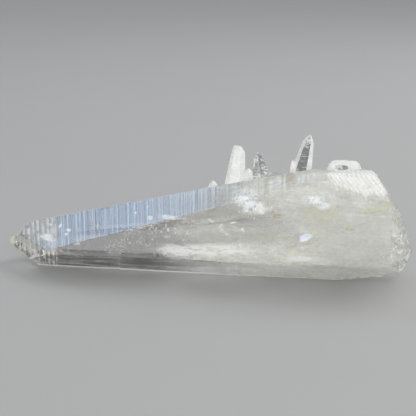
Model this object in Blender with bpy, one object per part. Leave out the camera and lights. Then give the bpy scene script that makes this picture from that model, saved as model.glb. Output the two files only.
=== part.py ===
"""A clear quartz crystal cluster lying on one side, modelled in metres with +Z up.

One long tapering crystal points to -X and ends at +X in a rough break. Smaller crystals grow from
its upper back slope. All of them are one intergrown solid, so they are joined into one object.
The cluster rests on a flat along its lowest edge, at Z = 0.
"""

import math

import bmesh
import bpy
from mathutils import Matrix, Vector, noise

# ---------------------------------------------------------------- the main crystal, in metres

AXIS_TIP = Vector((-0.0804, 0.0, 0.0085))
AXIS_ROOT = Vector((0.0800, 0.0, 0.0240))
BLOCK_SIZE = 0.400

# Prism faces: the way each looks, in degrees from the front (-Y) over the top to the back, and
# its distance from the axis at the tip and at the root.
PRISM_FACES = {
    "upper_front": (63, 0.0048, 0.0331),
    "front": (3, 0.0190, 0.0161),
    "lower_front": (-57, 0.0099, 0.0188),
    "lower_back": (-117, 0.0116, 0.0315),
    "back": (183, 0.0172, 0.0298),
    "upper_back": (123, 0.0060, 0.0209),
}

# The faces of the point: how far each leans from the axis, in degrees, and how far it is set back
# from the end of the axis.
POINT_FACES = {
    "upper_front": (38.2, -0.0007),
    "front": (38.2, -0.0002),
    "lower_front": (31.0, -0.0007),
    "lower_back": (35.0, 0.0004),
    "back": (38.2, -0.0008),
    "upper_back": (38.2, 0.0005),
}
CHIP = (Vector((-0.0796, 0.0, 0.0085)), 180, 10)

# ---------------------------------------------------------------- the root

# Planes that end the crystal at its root: a point on each, its turn from +X towards +Y, and its
# rise above the horizon, in degrees. The first two are smooth, the others are rough breaks.
SMOOTH_ROOT_PLANES = {
    "top_flat": ((0.0560, 0.0000, 0.0461), 0, 88),
    "bright_facet": ((0.0624, -0.0155, 0.0423), -77, 60),
}
BREAK_PLANES = {
    "rim_top": ((0.0687, -0.0040, 0.0440), 13, 40),
    "rim_upper": ((0.0750, -0.0040, 0.0346), 9, 30),
    "rim_middle": ((0.0810, -0.0040, 0.0214), 5, 18),
    "rim_lower": ((0.0817, -0.0040, 0.0113), -8, -30),
    "heel": ((0.0763, -0.0040, 0.0067), -15, -61),
    "under_heel": ((0.0663, -0.0040, 0.0032), -10, -76),
    "front_chip": ((0.0772, -0.0160, 0.0180), -50, 3),
    "back_chip": ((0.0700, 0.0200, 0.0200), 50, 12),
}
BREAK_GRID = 0.0045
BREAK_SNAP = 0.0012
BREAK_DEPTH = 0.0012
BREAK_WAVELENGTH = 0.010

# ---------------------------------------------------------------- the side crystals

# Each side crystal: its foot inside the main crystal, its tip, its half width at the foot and at
# the shoulder, its depth over its width, its turn about its own axis in degrees, the share of its
# length above the shoulder, how far its tip sits off its axis towards +X, and the share of its
# length that is broken off the tip.
SIDE_CRYSTALS = {
    "white_prism": dict(
        foot=(0.0131, 0.0030, 0.0272), tip=(0.0148, 0.0082, 0.0534), foot_width=0.0054,
        shoulder_width=0.0027, depth=0.80, turn=30, point=0.19, tip_shift=-0.0014, broken=0.11,
    ),
    "white_spur": dict(
        foot=(0.0187, 0.0040, 0.0320), tip=(0.0188, 0.0060, 0.0425), foot_width=0.0027,
        shoulder_width=0.0018, depth=0.90, turn=15, point=0.16, tip_shift=0.0, broken=0.03,
    ),
    "clear_point": dict(
        foot=(0.0253, 0.0040, 0.0305), tip=(0.0221, 0.0075, 0.0487), foot_width=0.0058,
        shoulder_width=0.0024, depth=0.85, turn=5, point=0.17, tip_shift=-0.0002, broken=0.0,
    ),
    "tall_point": dict(
        foot=(0.0377, 0.0030, 0.0330), tip=(0.0423, 0.0085, 0.0565), foot_width=0.0056,
        shoulder_width=0.0022, depth=0.80, turn=30, point=0.13, tip_shift=0.0, broken=0.02,
    ),
    "tall_spur": dict(
        foot=(0.0370, 0.0015, 0.0340), tip=(0.0365, 0.0030, 0.0474), foot_width=0.0025,
        shoulder_width=0.0010, depth=0.90, turn=0, point=0.12, tip_shift=0.0, broken=0.0,
    ),
    "tiny_point": dict(
        foot=(0.0055, 0.0030, 0.0270), tip=(0.0050, 0.0040, 0.0376), foot_width=0.0028,
        shoulder_width=0.0021, depth=1.00, turn=15, point=0.22, tip_shift=0.0, broken=0.05,
    ),
    "low_ridge": dict(
        foot=(0.0245, 0.0045, 0.0362), tip=(0.0375, 0.0045, 0.0371), foot_width=0.0056,
        shoulder_width=0.0049, depth=0.90, turn=0, point=0.18, tip_shift=0.0, broken=0.03,
    ),
}

# The way a broken tip faces, in the side crystal's own axes.
BROKEN_TIP_FACES = (0.06, -0.15, 1.0)

# The rounded crystal lying behind the top: its centre, its size and the radius of its edges.
LYING_CENTRE = Vector((0.0558, 0.0065, 0.0417))
LYING_SIZE = Vector((0.0140, 0.0100, 0.0110))
LYING_ROUNDING = 0.0040


def clear_scene():
    for obj in list(bpy.data.objects):
        bpy.data.objects.remove(obj, do_unlink=True)


def new_collection(name):
    collection = bpy.data.collections.new(name)
    bpy.context.scene.collection.children.link(collection)
    return collection


def across(degrees):
    """The unit vector across the axis that looks this many degrees above the horizon, from -Y."""
    angle = math.radians(degrees)
    return Vector((0.0, -math.cos(angle), math.sin(angle)))


def looking(turn, rise):
    """The unit vector turned from +X towards +Y and raised above the horizon, in degrees."""
    turn = math.radians(turn)
    rise = math.radians(rise)
    return Vector((math.cos(rise) * math.cos(turn), math.cos(rise) * math.sin(turn), math.sin(rise)))


def cut_away(mesh, point, normal):
    """Cuts off what lies on the normal's side of a plane, and returns the face that closes it."""
    cut = bmesh.ops.bisect_plane(
        mesh,
        geom=mesh.verts[:] + mesh.edges[:] + mesh.faces[:],
        dist=1e-7,
        plane_co=point,
        plane_no=normal,
        clear_outer=True,
    )
    edges = [item for item in cut["geom_cut"] if isinstance(item, bmesh.types.BMEdge)]
    return bmesh.ops.edgeloop_fill(mesh, edges=edges)["faces"]


def prism_plane(degrees, tip_distance, root_distance):
    """A point on a prism face and its normal, which leans with the crystal's taper."""
    outward = across(degrees)
    at_tip = AXIS_TIP + outward * tip_distance
    at_root = AXIS_ROOT + outward * root_distance
    normal = across(degrees + 90).cross(at_root - at_tip).normalized()
    if normal.dot(outward) < 0:
        normal.negate()
    return at_tip, normal


def cut_point(mesh):
    for name, (lean, setback) in POINT_FACES.items():
        degrees = PRISM_FACES[name][0]
        lean = math.radians(lean)
        normal = across(degrees) * math.cos(lean) - Vector((math.sin(lean), 0.0, 0.0))
        cut_away(mesh, AXIS_TIP - normal * setback, normal)
    point, turn, rise = CHIP
    cut_away(mesh, point, looking(turn, rise))


def cut_root(mesh):
    """Ends the crystal at its root and marks the faces of the break."""
    for point, turn, rise in SMOOTH_ROOT_PLANES.values():
        cut_away(mesh, Vector(point), looking(turn, rise))
    for point, turn, rise in BREAK_PLANES.values():
        for face in cut_away(mesh, Vector(point), looking(turn, rise)):
            face.material_index = 1


def roughen_break(mesh):
    """Divides the faces of the break by a lattice of planes and makes their insides uneven."""
    for axis in range(3):
        normal = Vector((0.0, 0.0, 0.0))
        normal[axis] = 1.0
        marked = [face for face in mesh.faces if face.material_index]
        heights = [vert.co[axis] for face in marked for vert in face.verts]
        steps = int((max(heights) - min(heights)) / BREAK_GRID)
        for step in range(1, steps + 1):
            marked = [face for face in mesh.faces if face.material_index]
            edges = list({edge for face in marked for edge in face.edges})
            verts = list({vert for face in marked for vert in face.verts})
            height = min(heights) + step * BREAK_GRID
            bmesh.ops.bisect_plane(
                mesh,
                geom=verts + edges + marked,
                dist=BREAK_SNAP,
                plane_co=normal * height,
                plane_no=normal,
            )
    inside = [vert for vert in mesh.verts if all(face.material_index for face in vert.link_faces)]
    moves = {}
    for vert in inside:
        height = noise.fractal(vert.co / BREAK_WAVELENGTH, 0.8, 2.0, 3)
        moves[vert] = vert.normal * height * BREAK_DEPTH
    for vert, move in moves.items():
        vert.co += move


def object_from(mesh, name, collection):
    bmesh.ops.recalc_face_normals(mesh, faces=mesh.faces[:])
    data = bpy.data.meshes.new(name)
    mesh.to_mesh(data)
    mesh.free()
    obj = bpy.data.objects.new(name, data)
    collection.objects.link(obj)
    return obj


def main_crystal(collection):
    mesh = bmesh.new()
    bmesh.ops.create_cube(mesh, size=BLOCK_SIZE)
    for degrees, tip_distance, root_distance in PRISM_FACES.values():
        cut_away(mesh, *prism_plane(degrees, tip_distance, root_distance))
    cut_point(mesh)
    cut_away(mesh, Vector((0.0, 0.0, 0.0)), Vector((0.0, 0.0, -1.0)))
    cut_root(mesh)
    bmesh.ops.recalc_face_normals(mesh, faces=mesh.faces[:])
    roughen_break(mesh)
    bmesh.ops.triangulate(mesh, faces=[face for face in mesh.faces if face.material_index])
    for face in mesh.faces:
        face.material_index = 0
    return object_from(mesh, "quartz_cluster", collection)


def side_crystal(name, shape, collection):
    """A tapering six-sided prism with a six-sided point, turned so that it leans foot to tip."""
    foot = Vector(shape["foot"])
    direction = Vector(shape["tip"]) - foot
    length = direction.length
    shoulder = length * (1 - shape["point"])
    mesh = bmesh.new()
    bmesh.ops.create_cone(
        mesh,
        cap_ends=True,
        segments=6,
        radius1=shape["foot_width"],
        radius2=shape["shoulder_width"],
        depth=shoulder,
        matrix=Matrix.Translation((0.0, 0.0, shoulder / 2)),
    )
    turn = Matrix.Rotation(math.radians(shape["turn"]), 3, "Z")
    bmesh.ops.rotate(mesh, verts=mesh.verts[:], matrix=turn)
    bmesh.ops.scale(mesh, verts=mesh.verts[:], vec=(1.0, shape["depth"], 1.0))
    top = max(mesh.faces, key=lambda face: face.calc_center_median().z)
    tip = bmesh.ops.poke(mesh, faces=[top])["verts"][0]
    tip.co = Vector((shape["tip_shift"], 0.0, length))
    if shape["broken"]:
        cut_away(mesh, Vector((0.0, 0.0, length * (1 - shape["broken"]))), Vector(BROKEN_TIP_FACES))
    up = direction.normalized()
    depth_axis = up.cross(Vector((1.0, 0.0, 0.0))).normalized()
    obj = object_from(mesh, name, collection)
    obj.rotation_euler = Matrix((depth_axis.cross(up), depth_axis, up)).transposed().to_euler()
    obj.location = foot
    return obj


def lying_crystal(collection):
    mesh = bmesh.new()
    bmesh.ops.create_cube(mesh, size=1.0)
    bmesh.ops.scale(mesh, verts=mesh.verts[:], vec=LYING_SIZE)
    bmesh.ops.bevel(
        mesh, geom=mesh.edges[:], offset=LYING_ROUNDING, segments=2, profile=0.5, affect="EDGES"
    )
    obj = object_from(mesh, "lying_crystal", collection)
    obj.location = LYING_CENTRE
    return obj


def quartz():
    material = bpy.data.materials.new("clear_quartz")
    material.use_nodes = True
    shader = material.node_tree.nodes["Principled BSDF"]
    shader.inputs["Base Color"].default_value = (0.86, 0.88, 0.84, 1.0)
    shader.inputs["Metallic"].default_value = 0.0
    shader.inputs["Roughness"].default_value = 0.08
    shader.inputs["IOR"].default_value = 1.55
    shader.inputs["Transmission Weight"].default_value = 1.0
    return material


def stand_on_origin(objects, whole):
    """Hangs the objects on an empty that puts the middle of the whole one's underside at 0, 0, 0."""
    bpy.context.view_layer.update()
    shape = whole.evaluated_get(bpy.context.evaluated_depsgraph_get())
    corners = [Vector(corner) for corner in shape.bound_box]
    low = Vector([min(corner[axis] for corner in corners) for axis in range(3)])
    high = Vector([max(corner[axis] for corner in corners) for axis in range(3)])
    stand = bpy.data.objects.new("stand", None)
    bpy.context.scene.collection.objects.link(stand)
    stand.location = (-(low.x + high.x) / 2, -(low.y + high.y) / 2, -low.z)
    for obj in objects:
        obj.parent = stand


def main():
    clear_scene()
    cluster = new_collection("quartz_cluster")
    side_crystals = new_collection("side_crystals")
    crystal = main_crystal(cluster)
    crystal.data.materials.append(quartz())
    for name, shape in SIDE_CRYSTALS.items():
        side_crystal(name, shape, side_crystals)
    lying_crystal(side_crystals)
    for helper in side_crystals.objects:
        helper.hide_render = True
        helper.display_type = "WIRE"
    grown = crystal.modifiers.new("grown_together", "BOOLEAN")
    grown.operation = "UNION"
    grown.operand_type = "COLLECTION"
    grown.collection = side_crystals
    stand_on_origin([crystal, *side_crystals.objects], crystal)


main()
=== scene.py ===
"""The finish of a clear quartz cluster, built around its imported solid.

Lengths are in metres, +Z is up and -Y is the front. The long crystal runs from its point at -X
to its broken root at +X. The crystals are one grown solid, and what is sealed in it, such as
clouds, cracks and stains, is made of thin sheets inside.
"""

import math

import bpy
import numpy as np
from bpy.props import FloatProperty, FloatVectorProperty, IntProperty, PointerProperty
from mathutils import Matrix, Vector, noise


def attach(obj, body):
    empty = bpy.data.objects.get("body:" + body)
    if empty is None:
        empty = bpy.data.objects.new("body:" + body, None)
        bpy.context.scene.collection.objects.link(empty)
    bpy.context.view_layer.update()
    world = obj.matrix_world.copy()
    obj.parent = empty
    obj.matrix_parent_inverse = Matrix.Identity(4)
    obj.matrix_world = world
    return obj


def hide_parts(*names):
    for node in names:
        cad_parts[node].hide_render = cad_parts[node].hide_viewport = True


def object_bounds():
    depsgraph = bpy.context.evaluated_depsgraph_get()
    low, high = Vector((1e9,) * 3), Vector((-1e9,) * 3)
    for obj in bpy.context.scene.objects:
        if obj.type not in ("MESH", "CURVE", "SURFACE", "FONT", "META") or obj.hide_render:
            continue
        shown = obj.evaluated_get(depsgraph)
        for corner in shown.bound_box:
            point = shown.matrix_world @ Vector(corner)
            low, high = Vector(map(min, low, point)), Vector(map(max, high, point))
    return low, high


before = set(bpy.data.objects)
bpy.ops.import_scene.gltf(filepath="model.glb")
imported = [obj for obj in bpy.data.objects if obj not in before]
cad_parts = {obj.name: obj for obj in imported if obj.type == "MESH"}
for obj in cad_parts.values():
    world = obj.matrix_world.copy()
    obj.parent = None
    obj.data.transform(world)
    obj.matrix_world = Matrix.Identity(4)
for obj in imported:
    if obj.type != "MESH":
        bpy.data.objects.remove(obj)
CAD_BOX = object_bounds()

bl_info = {
    "name": "Quartz cluster",
    "version": (1, 0, 0),
    "blender": (4, 5, 0),
    "location": "3D View > Sidebar > Quartz",
    "description": "Grows a clear quartz cluster with its clouds, cracks and stains",
    "category": "Add Mesh",
}

SOLID = "quartz_cluster"
BODY = "root"

# Places below are measured from a line under the middle of the long crystal, and the solid's
# frame is moved from there by this much.
MIDDLE = Vector((-0.002226, -0.004833, 0.0))

# The line of growth, from the end of the point to the root.
TIP = Vector((-0.0804, 0.0, 0.0085)) + MIDDLE
ROOT = Vector((0.0800, 0.0, 0.0240)) + MIDDLE
AXIS = (ROOT - TIP).normalized()
UPPER_BACK = Vector((0.0, 0.545, 0.839))
UPPER_FRONT = Vector((-0.254, -0.439, 0.862))
FRONT = Vector((0.013, -0.999, 0.052))
LOWER_FRONT = Vector((0.026, -0.544, -0.838))
UNDER_POINT = Vector((-0.515, -0.467, -0.719))

# Growth lines lie in upright planes that fan out about a far upright line.
FAN_X = 0.0811 + MIDDLE.x
FAN_Y = -0.3637 + MIDDLE.y
FAN_REACH = 0.37
FAN_START = -0.0819

# The rough planes that end the crystal at its root: a point on each, its turn from +X towards
# +Y, and its rise above the horizon, in degrees.
ROOT_PLANES = {
    "rim_top": ((0.0687, -0.0040, 0.0440), 13, 40),
    "rim_upper": ((0.0750, -0.0040, 0.0346), 9, 30),
    "rim_middle": ((0.0810, -0.0040, 0.0214), 5, 18),
    "rim_lower": ((0.0817, -0.0040, 0.0113), -8, -30),
    "heel": ((0.0763, -0.0040, 0.0067), -15, -61),
    "under_heel": ((0.0663, -0.0040, 0.0032), -10, -76),
    "front_chip": ((0.0772, -0.0160, 0.0180), -50, 3),
    "back_chip": ((0.0700, 0.0200, 0.0200), 50, 12),
}

# Each side crystal: its foot inside the long crystal, its tip, its half width at the foot and at
# the shoulder, its depth over its width, its turn in degrees, the share of its length above the
# shoulder, how far its tip sits off its line, the share broken off the tip, and how white it is.
SIDE_CRYSTALS = {
    "white_prism": dict(
        foot=(0.0131, 0.0030, 0.0272), tip=(0.0148, 0.0082, 0.0534), foot_width=0.0054,
        shoulder_width=0.0027, depth=0.80, turn=30, point=0.19, tip_shift=-0.0014, broken=0.11,
        white=0.72,
    ),
    "white_spur": dict(
        foot=(0.0187, 0.0040, 0.0320), tip=(0.0188, 0.0060, 0.0425), foot_width=0.0027,
        shoulder_width=0.0018, depth=0.90, turn=15, point=0.16, tip_shift=0.0, broken=0.03,
        white=0.70,
    ),
    "clear_point": dict(
        foot=(0.0253, 0.0040, 0.0305), tip=(0.0221, 0.0075, 0.0487), foot_width=0.0058,
        shoulder_width=0.0024, depth=0.85, turn=5, point=0.17, tip_shift=-0.0002, broken=0.0,
        white=0.03,
    ),
    "tall_point": dict(
        foot=(0.0377, 0.0030, 0.0330), tip=(0.0423, 0.0085, 0.0565), foot_width=0.0056,
        shoulder_width=0.0022, depth=0.80, turn=30, point=0.13, tip_shift=0.0, broken=0.02,
        white=0.10,
    ),
    "tall_spur": dict(
        foot=(0.0370, 0.0015, 0.0340), tip=(0.0365, 0.0030, 0.0474), foot_width=0.0025,
        shoulder_width=0.0010, depth=0.90, turn=0, point=0.12, tip_shift=0.0, broken=0.0,
        white=0.40,
    ),
    "tiny_point": dict(
        foot=(0.0055, 0.0030, 0.0270), tip=(0.0050, 0.0040, 0.0376), foot_width=0.0028,
        shoulder_width=0.0021, depth=1.00, turn=15, point=0.22, tip_shift=0.0, broken=0.05,
        white=0.60,
    ),
    "low_ridge": dict(
        foot=(0.0245, 0.0045, 0.0362), tip=(0.0375, 0.0045, 0.0371), foot_width=0.0056,
        shoulder_width=0.0049, depth=0.90, turn=0, point=0.18, tip_shift=0.0, broken=0.03,
        white=0.35,
    ),
}
# How white the left and right faces of some side crystals are.
SIDE_FACES = {"tall_point": 0.92, "tall_spur": 0.80, "clear_point": 0.10}
# The share of painted shade on the front faces of some, and which carry chalky patches or growth ticks.
PAINTED_DARK_FACES = {"tall_point": 0.50, "clear_point": 0.45, "low_ridge": 0.40}
CHALKY = "clear_point"
TICKED = "tall_point"
# Seen from the front: the way to the right and the way up.
ACROSS = Vector((0.978, 0.208, 0.0))
RISING = Vector((-0.054, 0.253, 0.966))
BROKEN_TIP_FACES = Vector((0.06, -0.15, 1.0))
LYING_CENTRE = Vector((0.0558, 0.0065, 0.0417)) + MIDDLE
LYING_SIZE = Vector((0.0140, 0.0100, 0.0110))
LYING_ROUNDING = 0.0036
HOLLOW = Vector((0.0550, 0.0020, 0.0445)) + MIDDLE


class QuartzSettings(bpy.types.PropertyGroup):
    seed: IntProperty(name="Seed", description="Picks another set of growth lines", default=11, min=1)
    terrace: FloatProperty(
        name="Terrace length",
        description="Average length of a step on the faces of the point",
        default=0.0019,
        unit="LENGTH",
    )
    line_gap: FloatProperty(
        name="Growth line gap",
        description="Average distance between growth lines along the prism",
        default=0.0010,
        unit="LENGTH",
    )
    step: FloatProperty(
        name="Step height",
        description="Share of the crystal's taper that its growth lines take up",
        default=0.60,
        subtype="FACTOR",
        min=0.0,
        max=1.0,
    )
    scallop: FloatProperty(
        name="Scallop depth",
        description="Depth of the deepest hollow in the broken root",
        default=0.0009,
        unit="LENGTH",
    )
    clear_tint: FloatVectorProperty(
        name="Clear tint",
        description="Colour that light keeps as it passes through clear quartz",
        subtype="COLOR",
        default=(0.60, 0.59, 0.57),
    )
    clear_density: FloatProperty(
        name="Clear density",
        description="How fast clear quartz takes up light, for each metre",
        default=14.0,
    )
    frost_colour: FloatVectorProperty(
        name="Frost colour",
        description="Colour of white crystals and rough or worn faces",
        subtype="COLOR",
        default=(0.84, 0.85, 0.84),
    )
    cream_colour: FloatVectorProperty(
        name="Cream colour",
        description="Colour of the worn ribs and of the end of the point",
        subtype="COLOR",
        default=(0.80, 0.78, 0.62),
    )
    milk_colour: FloatVectorProperty(
        name="Milk colour",
        description="Colour of the white wisps in the root",
        subtype="COLOR",
        default=(0.80, 0.81, 0.78),
    )
    dim_milk_colour: FloatVectorProperty(
        name="Dim milk colour",
        description="Colour of the root between its white wisps",
        subtype="COLOR",
        default=(0.57, 0.58, 0.55),
    )
    line_strength: FloatProperty(
        name="Line strength",
        description="How clearly the growth lines show on the upper front",
        default=0.75,
        min=0.0,
        max=1.0,
    )
    milk: FloatProperty(
        name="Milkiness",
        description="How much one sheet of cloud hides what is behind it",
        default=0.34,
        subtype="FACTOR",
        min=0.0,
        max=1.0,
    )
    stain_colour: FloatVectorProperty(
        name="Stain colour",
        description="Colour of the iron stains",
        subtype="COLOR",
        default=(0.44, 0.25, 0.12),
    )
    yellow_colour: FloatVectorProperty(
        name="Yellow colour",
        description="Colour of the pale yellow stains",
        subtype="COLOR",
        default=(0.72, 0.71, 0.44),
    )
    floor_colour: FloatVectorProperty(
        name="Floor colour", description="Colour of the floor", subtype="COLOR", default=(0.33, 0.33, 0.33)
    )
    sky_colour: FloatVectorProperty(
        name="Sky colour",
        description="Colour of the broad lamp behind the cluster",
        subtype="COLOR",
        default=(0.46, 0.645, 0.89),
    )
    sky_strength: FloatProperty(
        name="Sky strength", description="Brightness of the patch of blue sky behind", default=3.8
    )
    top_power: FloatProperty(
        name="Top power", description="Power of the lamp above", default=7.0, unit="POWER"
    )
    fill_power: FloatProperty(
        name="Fill power", description="Power of the lamp in front", default=13.0, unit="POWER"
    )


# ---------------------------------------------------------------- modelling


def only(obj):
    """Leaves this object alone selected and active."""
    bpy.ops.object.select_all(action="DESELECT")
    obj.select_set(True)
    bpy.context.view_layer.objects.active = obj


def edit(obj):
    only(obj)
    bpy.ops.object.mode_set(mode="EDIT")
    bpy.ops.mesh.select_all(action="SELECT")


def leave():
    bpy.ops.object.mode_set(mode="OBJECT")


def named(name):
    """Names the object that was just added and returns it."""
    obj = bpy.context.active_object
    obj.name = name
    obj.data.name = name
    return obj


def apply_modifiers(obj):
    only(obj)
    for modifier in list(obj.modifiers):
        bpy.ops.object.modifier_apply(modifier=modifier.name)


def freeze(obj):
    """Puts the object's place and turn into its mesh."""
    only(obj)
    bpy.ops.object.transform_apply(location=True, rotation=True, scale=True)


def join(objects, name):
    """Joins objects into the first one."""
    only(objects[0])
    for obj in objects[1:]:
        obj.select_set(True)
    bpy.ops.object.join()
    return named(name)


def copy_of(obj):
    """A copy of the object with its own mesh."""
    copy = obj.copy()
    copy.data = obj.data.copy()
    bpy.context.scene.collection.objects.link(copy)
    return copy


def bisect(point, normal, fill=False, clear_outer=False, clear_inner=False):
    """Cuts the selected faces of the mesh in edit mode by a plane."""
    bpy.ops.mesh.bisect(
        plane_co=point,
        plane_no=normal,
        use_fill=fill,
        clear_outer=clear_outer,
        clear_inner=clear_inner,
        threshold=1e-6,
    )


def select_faces(obj, wanted):
    """Selects in edit mode the faces whose numbers are wanted."""
    bpy.ops.mesh.select_all(action="DESELECT")
    bpy.ops.object.mode_set(mode="OBJECT")
    for index in wanted:
        obj.data.polygons[index].select = True
    bpy.ops.object.mode_set(mode="EDIT")


def coordinates(mesh):
    values = np.empty(len(mesh.vertices) * 3)
    mesh.vertices.foreach_get("co", values)
    return values.reshape(-1, 3)


def place(mesh, points):
    mesh.vertices.foreach_set("co", points.reshape(-1))
    mesh.update()


def paint(mesh, name, values):
    """Stores a number for each point of the mesh."""
    layer = mesh.attributes.get(name) or mesh.attributes.new(name, "FLOAT", "POINT")
    layer.data.foreach_set("value", np.asarray(values, dtype=np.float32))


def painted(mesh, name):
    values = np.zeros(len(mesh.vertices), dtype=np.float32)
    layer = mesh.attributes.get(name)
    if layer is not None:
        layer.data.foreach_get("value", values)
    return values


def rises(draw, start, stop, gap, spread):
    """Uneven stations from start to past stop."""
    stations = [start]
    while stations[-1] < stop:
        stations.append(stations[-1] + gap * draw.uniform(1 - spread, 1 + spread))
    return np.array(stations)


def smooth_step(low, high, values):
    share = np.clip((values - low) / (high - low), 0.0, 1.0)
    return share * share * (3 - 2 * share)


def hump(values, middle, width):
    """1 at the middle, falling to 0 on both sides."""
    return np.exp(-(((values - middle) / width) ** 2))


def noise_at(points, size, seed=0.0, octaves=3):
    """Smooth noise from about -1 to 1 at each point, with bumps of this size."""
    offset = Vector((seed, seed * 0.7, seed * 1.3))
    return np.array([noise.fractal(Vector(p) / size + offset, 0.9, 2.1, octaves) for p in points])


def looking(turn, rise):
    """The unit vector turned from +X towards +Y and raised above the horizon, in degrees."""
    turn, rise = math.radians(turn), math.radians(rise)
    return Vector((math.cos(rise) * math.cos(turn), math.cos(rise) * math.sin(turn), math.sin(rise)))


def keep_in(piece, hides_solid=False):
    """Declares a finished piece of the cluster."""
    if hides_solid:
        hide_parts(SOLID)
    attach(piece, BODY)


# ---------------------------------------------------------------- finishes


class Level:
    """A number socket that Python sums can use."""

    def __init__(self, finish, socket):
        self.finish = finish
        self.socket = socket

    def sum(self, operation, first, second=0.0, third=0.0):
        node = self.finish.node("Math", {"operation": operation}, {0: first, 1: second, 2: third})
        return Level(self.finish, node.outputs[0])

    def __add__(self, other):
        return self.sum("ADD", self, other)

    def __radd__(self, other):
        return self.sum("ADD", other, self)

    def __sub__(self, other):
        return self.sum("SUBTRACT", self, other)

    def __rsub__(self, other):
        return self.sum("SUBTRACT", other, self)

    def __mul__(self, other):
        return self.sum("MULTIPLY", self, other)

    def __rmul__(self, other):
        return self.sum("MULTIPLY", other, self)

    def __truediv__(self, other):
        return self.sum("DIVIDE", self, other)

    def __neg__(self):
        return self.sum("MULTIPLY", self, -1.0)

    def __pow__(self, other):
        return self.sum("POWER", self, other)

    def over(self, other):
        return self.sum("MAXIMUM", self, other)

    def hump(self, middle, width):
        """1 at the middle, falling to 0 at the width on both sides."""
        return (((self - middle) / width) ** 2.0).fade(1.0, 0.0)

    def fade(self, low, high):
        """0 up to low and 1 from high on, with a soft change between. High may be below low."""
        node = self.finish.node(
            "MapRange",
            {"interpolation_type": "SMOOTHSTEP", "clamp": True},
            {"Value": self, "From Min": low, "From Max": high},
        )
        return Level(self.finish, node.outputs[0])


class Finish:
    """A material, or a world, whose nodes are added one at a time."""

    def __init__(self, name, kind=None):
        self.material = (bpy.data.materials if kind is None else kind).new(name)
        self.material.use_nodes = True
        self.tree = self.material.node_tree
        self.tree.nodes.clear()

    def node(self, kind, settings=None, sockets=None):
        """Adds a node, sets it up, then gives its sockets their values or links."""
        node = self.tree.nodes.new("ShaderNode" + kind)
        for key, value in (settings or {}).items():
            if key == "stops":
                while len(node.color_ramp.elements) < len(value):
                    node.color_ramp.elements.new(1.0)
                for stop, (position, colour) in zip(node.color_ramp.elements, value):
                    stop.position = position
                    stop.color = (*colour, 1.0)
            else:
                setattr(node, key, value)
        for key, value in (sockets or {}).items():
            if isinstance(value, Level):
                value = value.socket
            if isinstance(value, bpy.types.NodeSocket):
                self.tree.links.new(value, node.inputs[key])
            else:
                node.inputs[key].default_value = value
        return node

    def painted(self, name):
        node = self.node("Attribute", {"attribute_name": name})
        return Level(self, node.outputs["Fac"])

    def place(self, stretch=(1.0, 1.0, 1.0), turn=(0.0, 0.0, 0.0)):
        """The place on the piece, stretched and turned."""
        coordinates = self.node("TexCoord")
        mapping = self.node(
            "Mapping", {}, {"Vector": coordinates.outputs["Object"], "Rotation": turn, "Scale": stretch}
        )
        return mapping.outputs[0]

    def length_and_height(self):
        """How far a point is along X, and how high it is above the floor."""
        parts = self.node("SeparateXYZ", {}, {0: self.place()})
        return Level(self, parts.outputs["X"]), Level(self, parts.outputs["Z"])

    def vector_sum(self, operation, first, second=(0.0, 0.0, 0.0), output="Vector"):
        node = self.node("VectorMath", {"operation": operation}, {0: first, 1: second})
        return node.outputs[output]

    def gap(self, normal, height):
        """How far a point is outside a plane."""
        return Level(self, self.vector_sum("DOT_PRODUCT", self.place(), tuple(normal), "Value")) - float(height)

    def spot(self, centre, reach, ragged):
        """1 in the middle of a soft-edged blot, falling to 0 at about its reach."""
        from_centre = self.vector_sum("SUBTRACT", self.place(), tuple(Vector(centre) + MIDDLE))
        scaled = self.vector_sum("DIVIDE", from_centre, reach)
        distance = Level(self, self.vector_sum("LENGTH", scaled, output="Value"))
        return (distance + (ragged - 0.5) * 1.6).fade(1.15, 0.45)

    def lines(self, scale, detail=2.0, roughness=0.5):
        """Noise that changes only along the growth, so it draws lines across it."""
        sockets = {"W": self.painted("along"), "Scale": scale, "Detail": detail, "Roughness": roughness}
        return Level(self, self.node("TexNoise", {"noise_dimensions": "1D"}, sockets).outputs["Fac"])

    def noise(self, scale, detail=3.0, roughness=0.55, distortion=0.0, stretch=(1.0, 1.0, 1.0), turn=(0, 0, 0)):
        node = self.node(
            "TexNoise",
            {},
            {
                "Vector": self.place(stretch, turn),
                "Scale": scale,
                "Detail": detail,
                "Roughness": roughness,
                "Distortion": distortion,
            },
        )
        return Level(self, node.outputs["Fac"])

    def cells(self, scale, stretch=(1.0, 1.0, 1.0)):
        """Distance from the nearest edge of a mosaic of grains."""
        node = self.node(
            "TexVoronoi", {"feature": "DISTANCE_TO_EDGE"}, {"Vector": self.place(stretch), "Scale": scale}
        )
        return Level(self, node.outputs["Distance"])

    def blend(self, share, first, second):
        """A colour between two others."""
        node = self.node("Mix", {"data_type": "RGBA"}, {0: share, 6: first, 7: second})
        return node.outputs[2]

    def mix(self, share, first, second):
        """A surface between two others."""
        return self.node("MixShader", {}, {0: share, 1: first, 2: second}).outputs[0]

    def bump(self, height, strength, distance):
        node = self.node("Bump", {}, {"Height": height, "Strength": strength, "Distance": distance})
        return node.outputs[0]

    def principled(self, sockets):
        return self.node("BsdfPrincipled", {}, sockets).outputs[0]

    def clear(self, colour=(1.0, 1.0, 1.0, 1.0)):
        return self.node("BsdfTransparent", {}, {0: colour}).outputs[0]

    def glow(self, tint):
        """Light that comes through from behind, in one even colour."""
        return self.node("BsdfTranslucent", {}, {"Color": colour(tint)}).outputs[0]

    def lets_lamps_through(self, surface, share):
        """The surface, with a share of the light from lamps going straight through it."""
        path = self.node("LightPath")
        return self.mix(Level(self, path.outputs["Is Shadow Ray"]) * share, surface, self.clear())

    def finished(self, surface, volume=None):
        sockets = {"Surface": surface}
        if volume is not None:
            sockets["Volume"] = volume
        self.node("OutputMaterial", {}, sockets)
        return self.material


def colour(values):
    return (values[0], values[1], values[2], 1.0)


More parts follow.
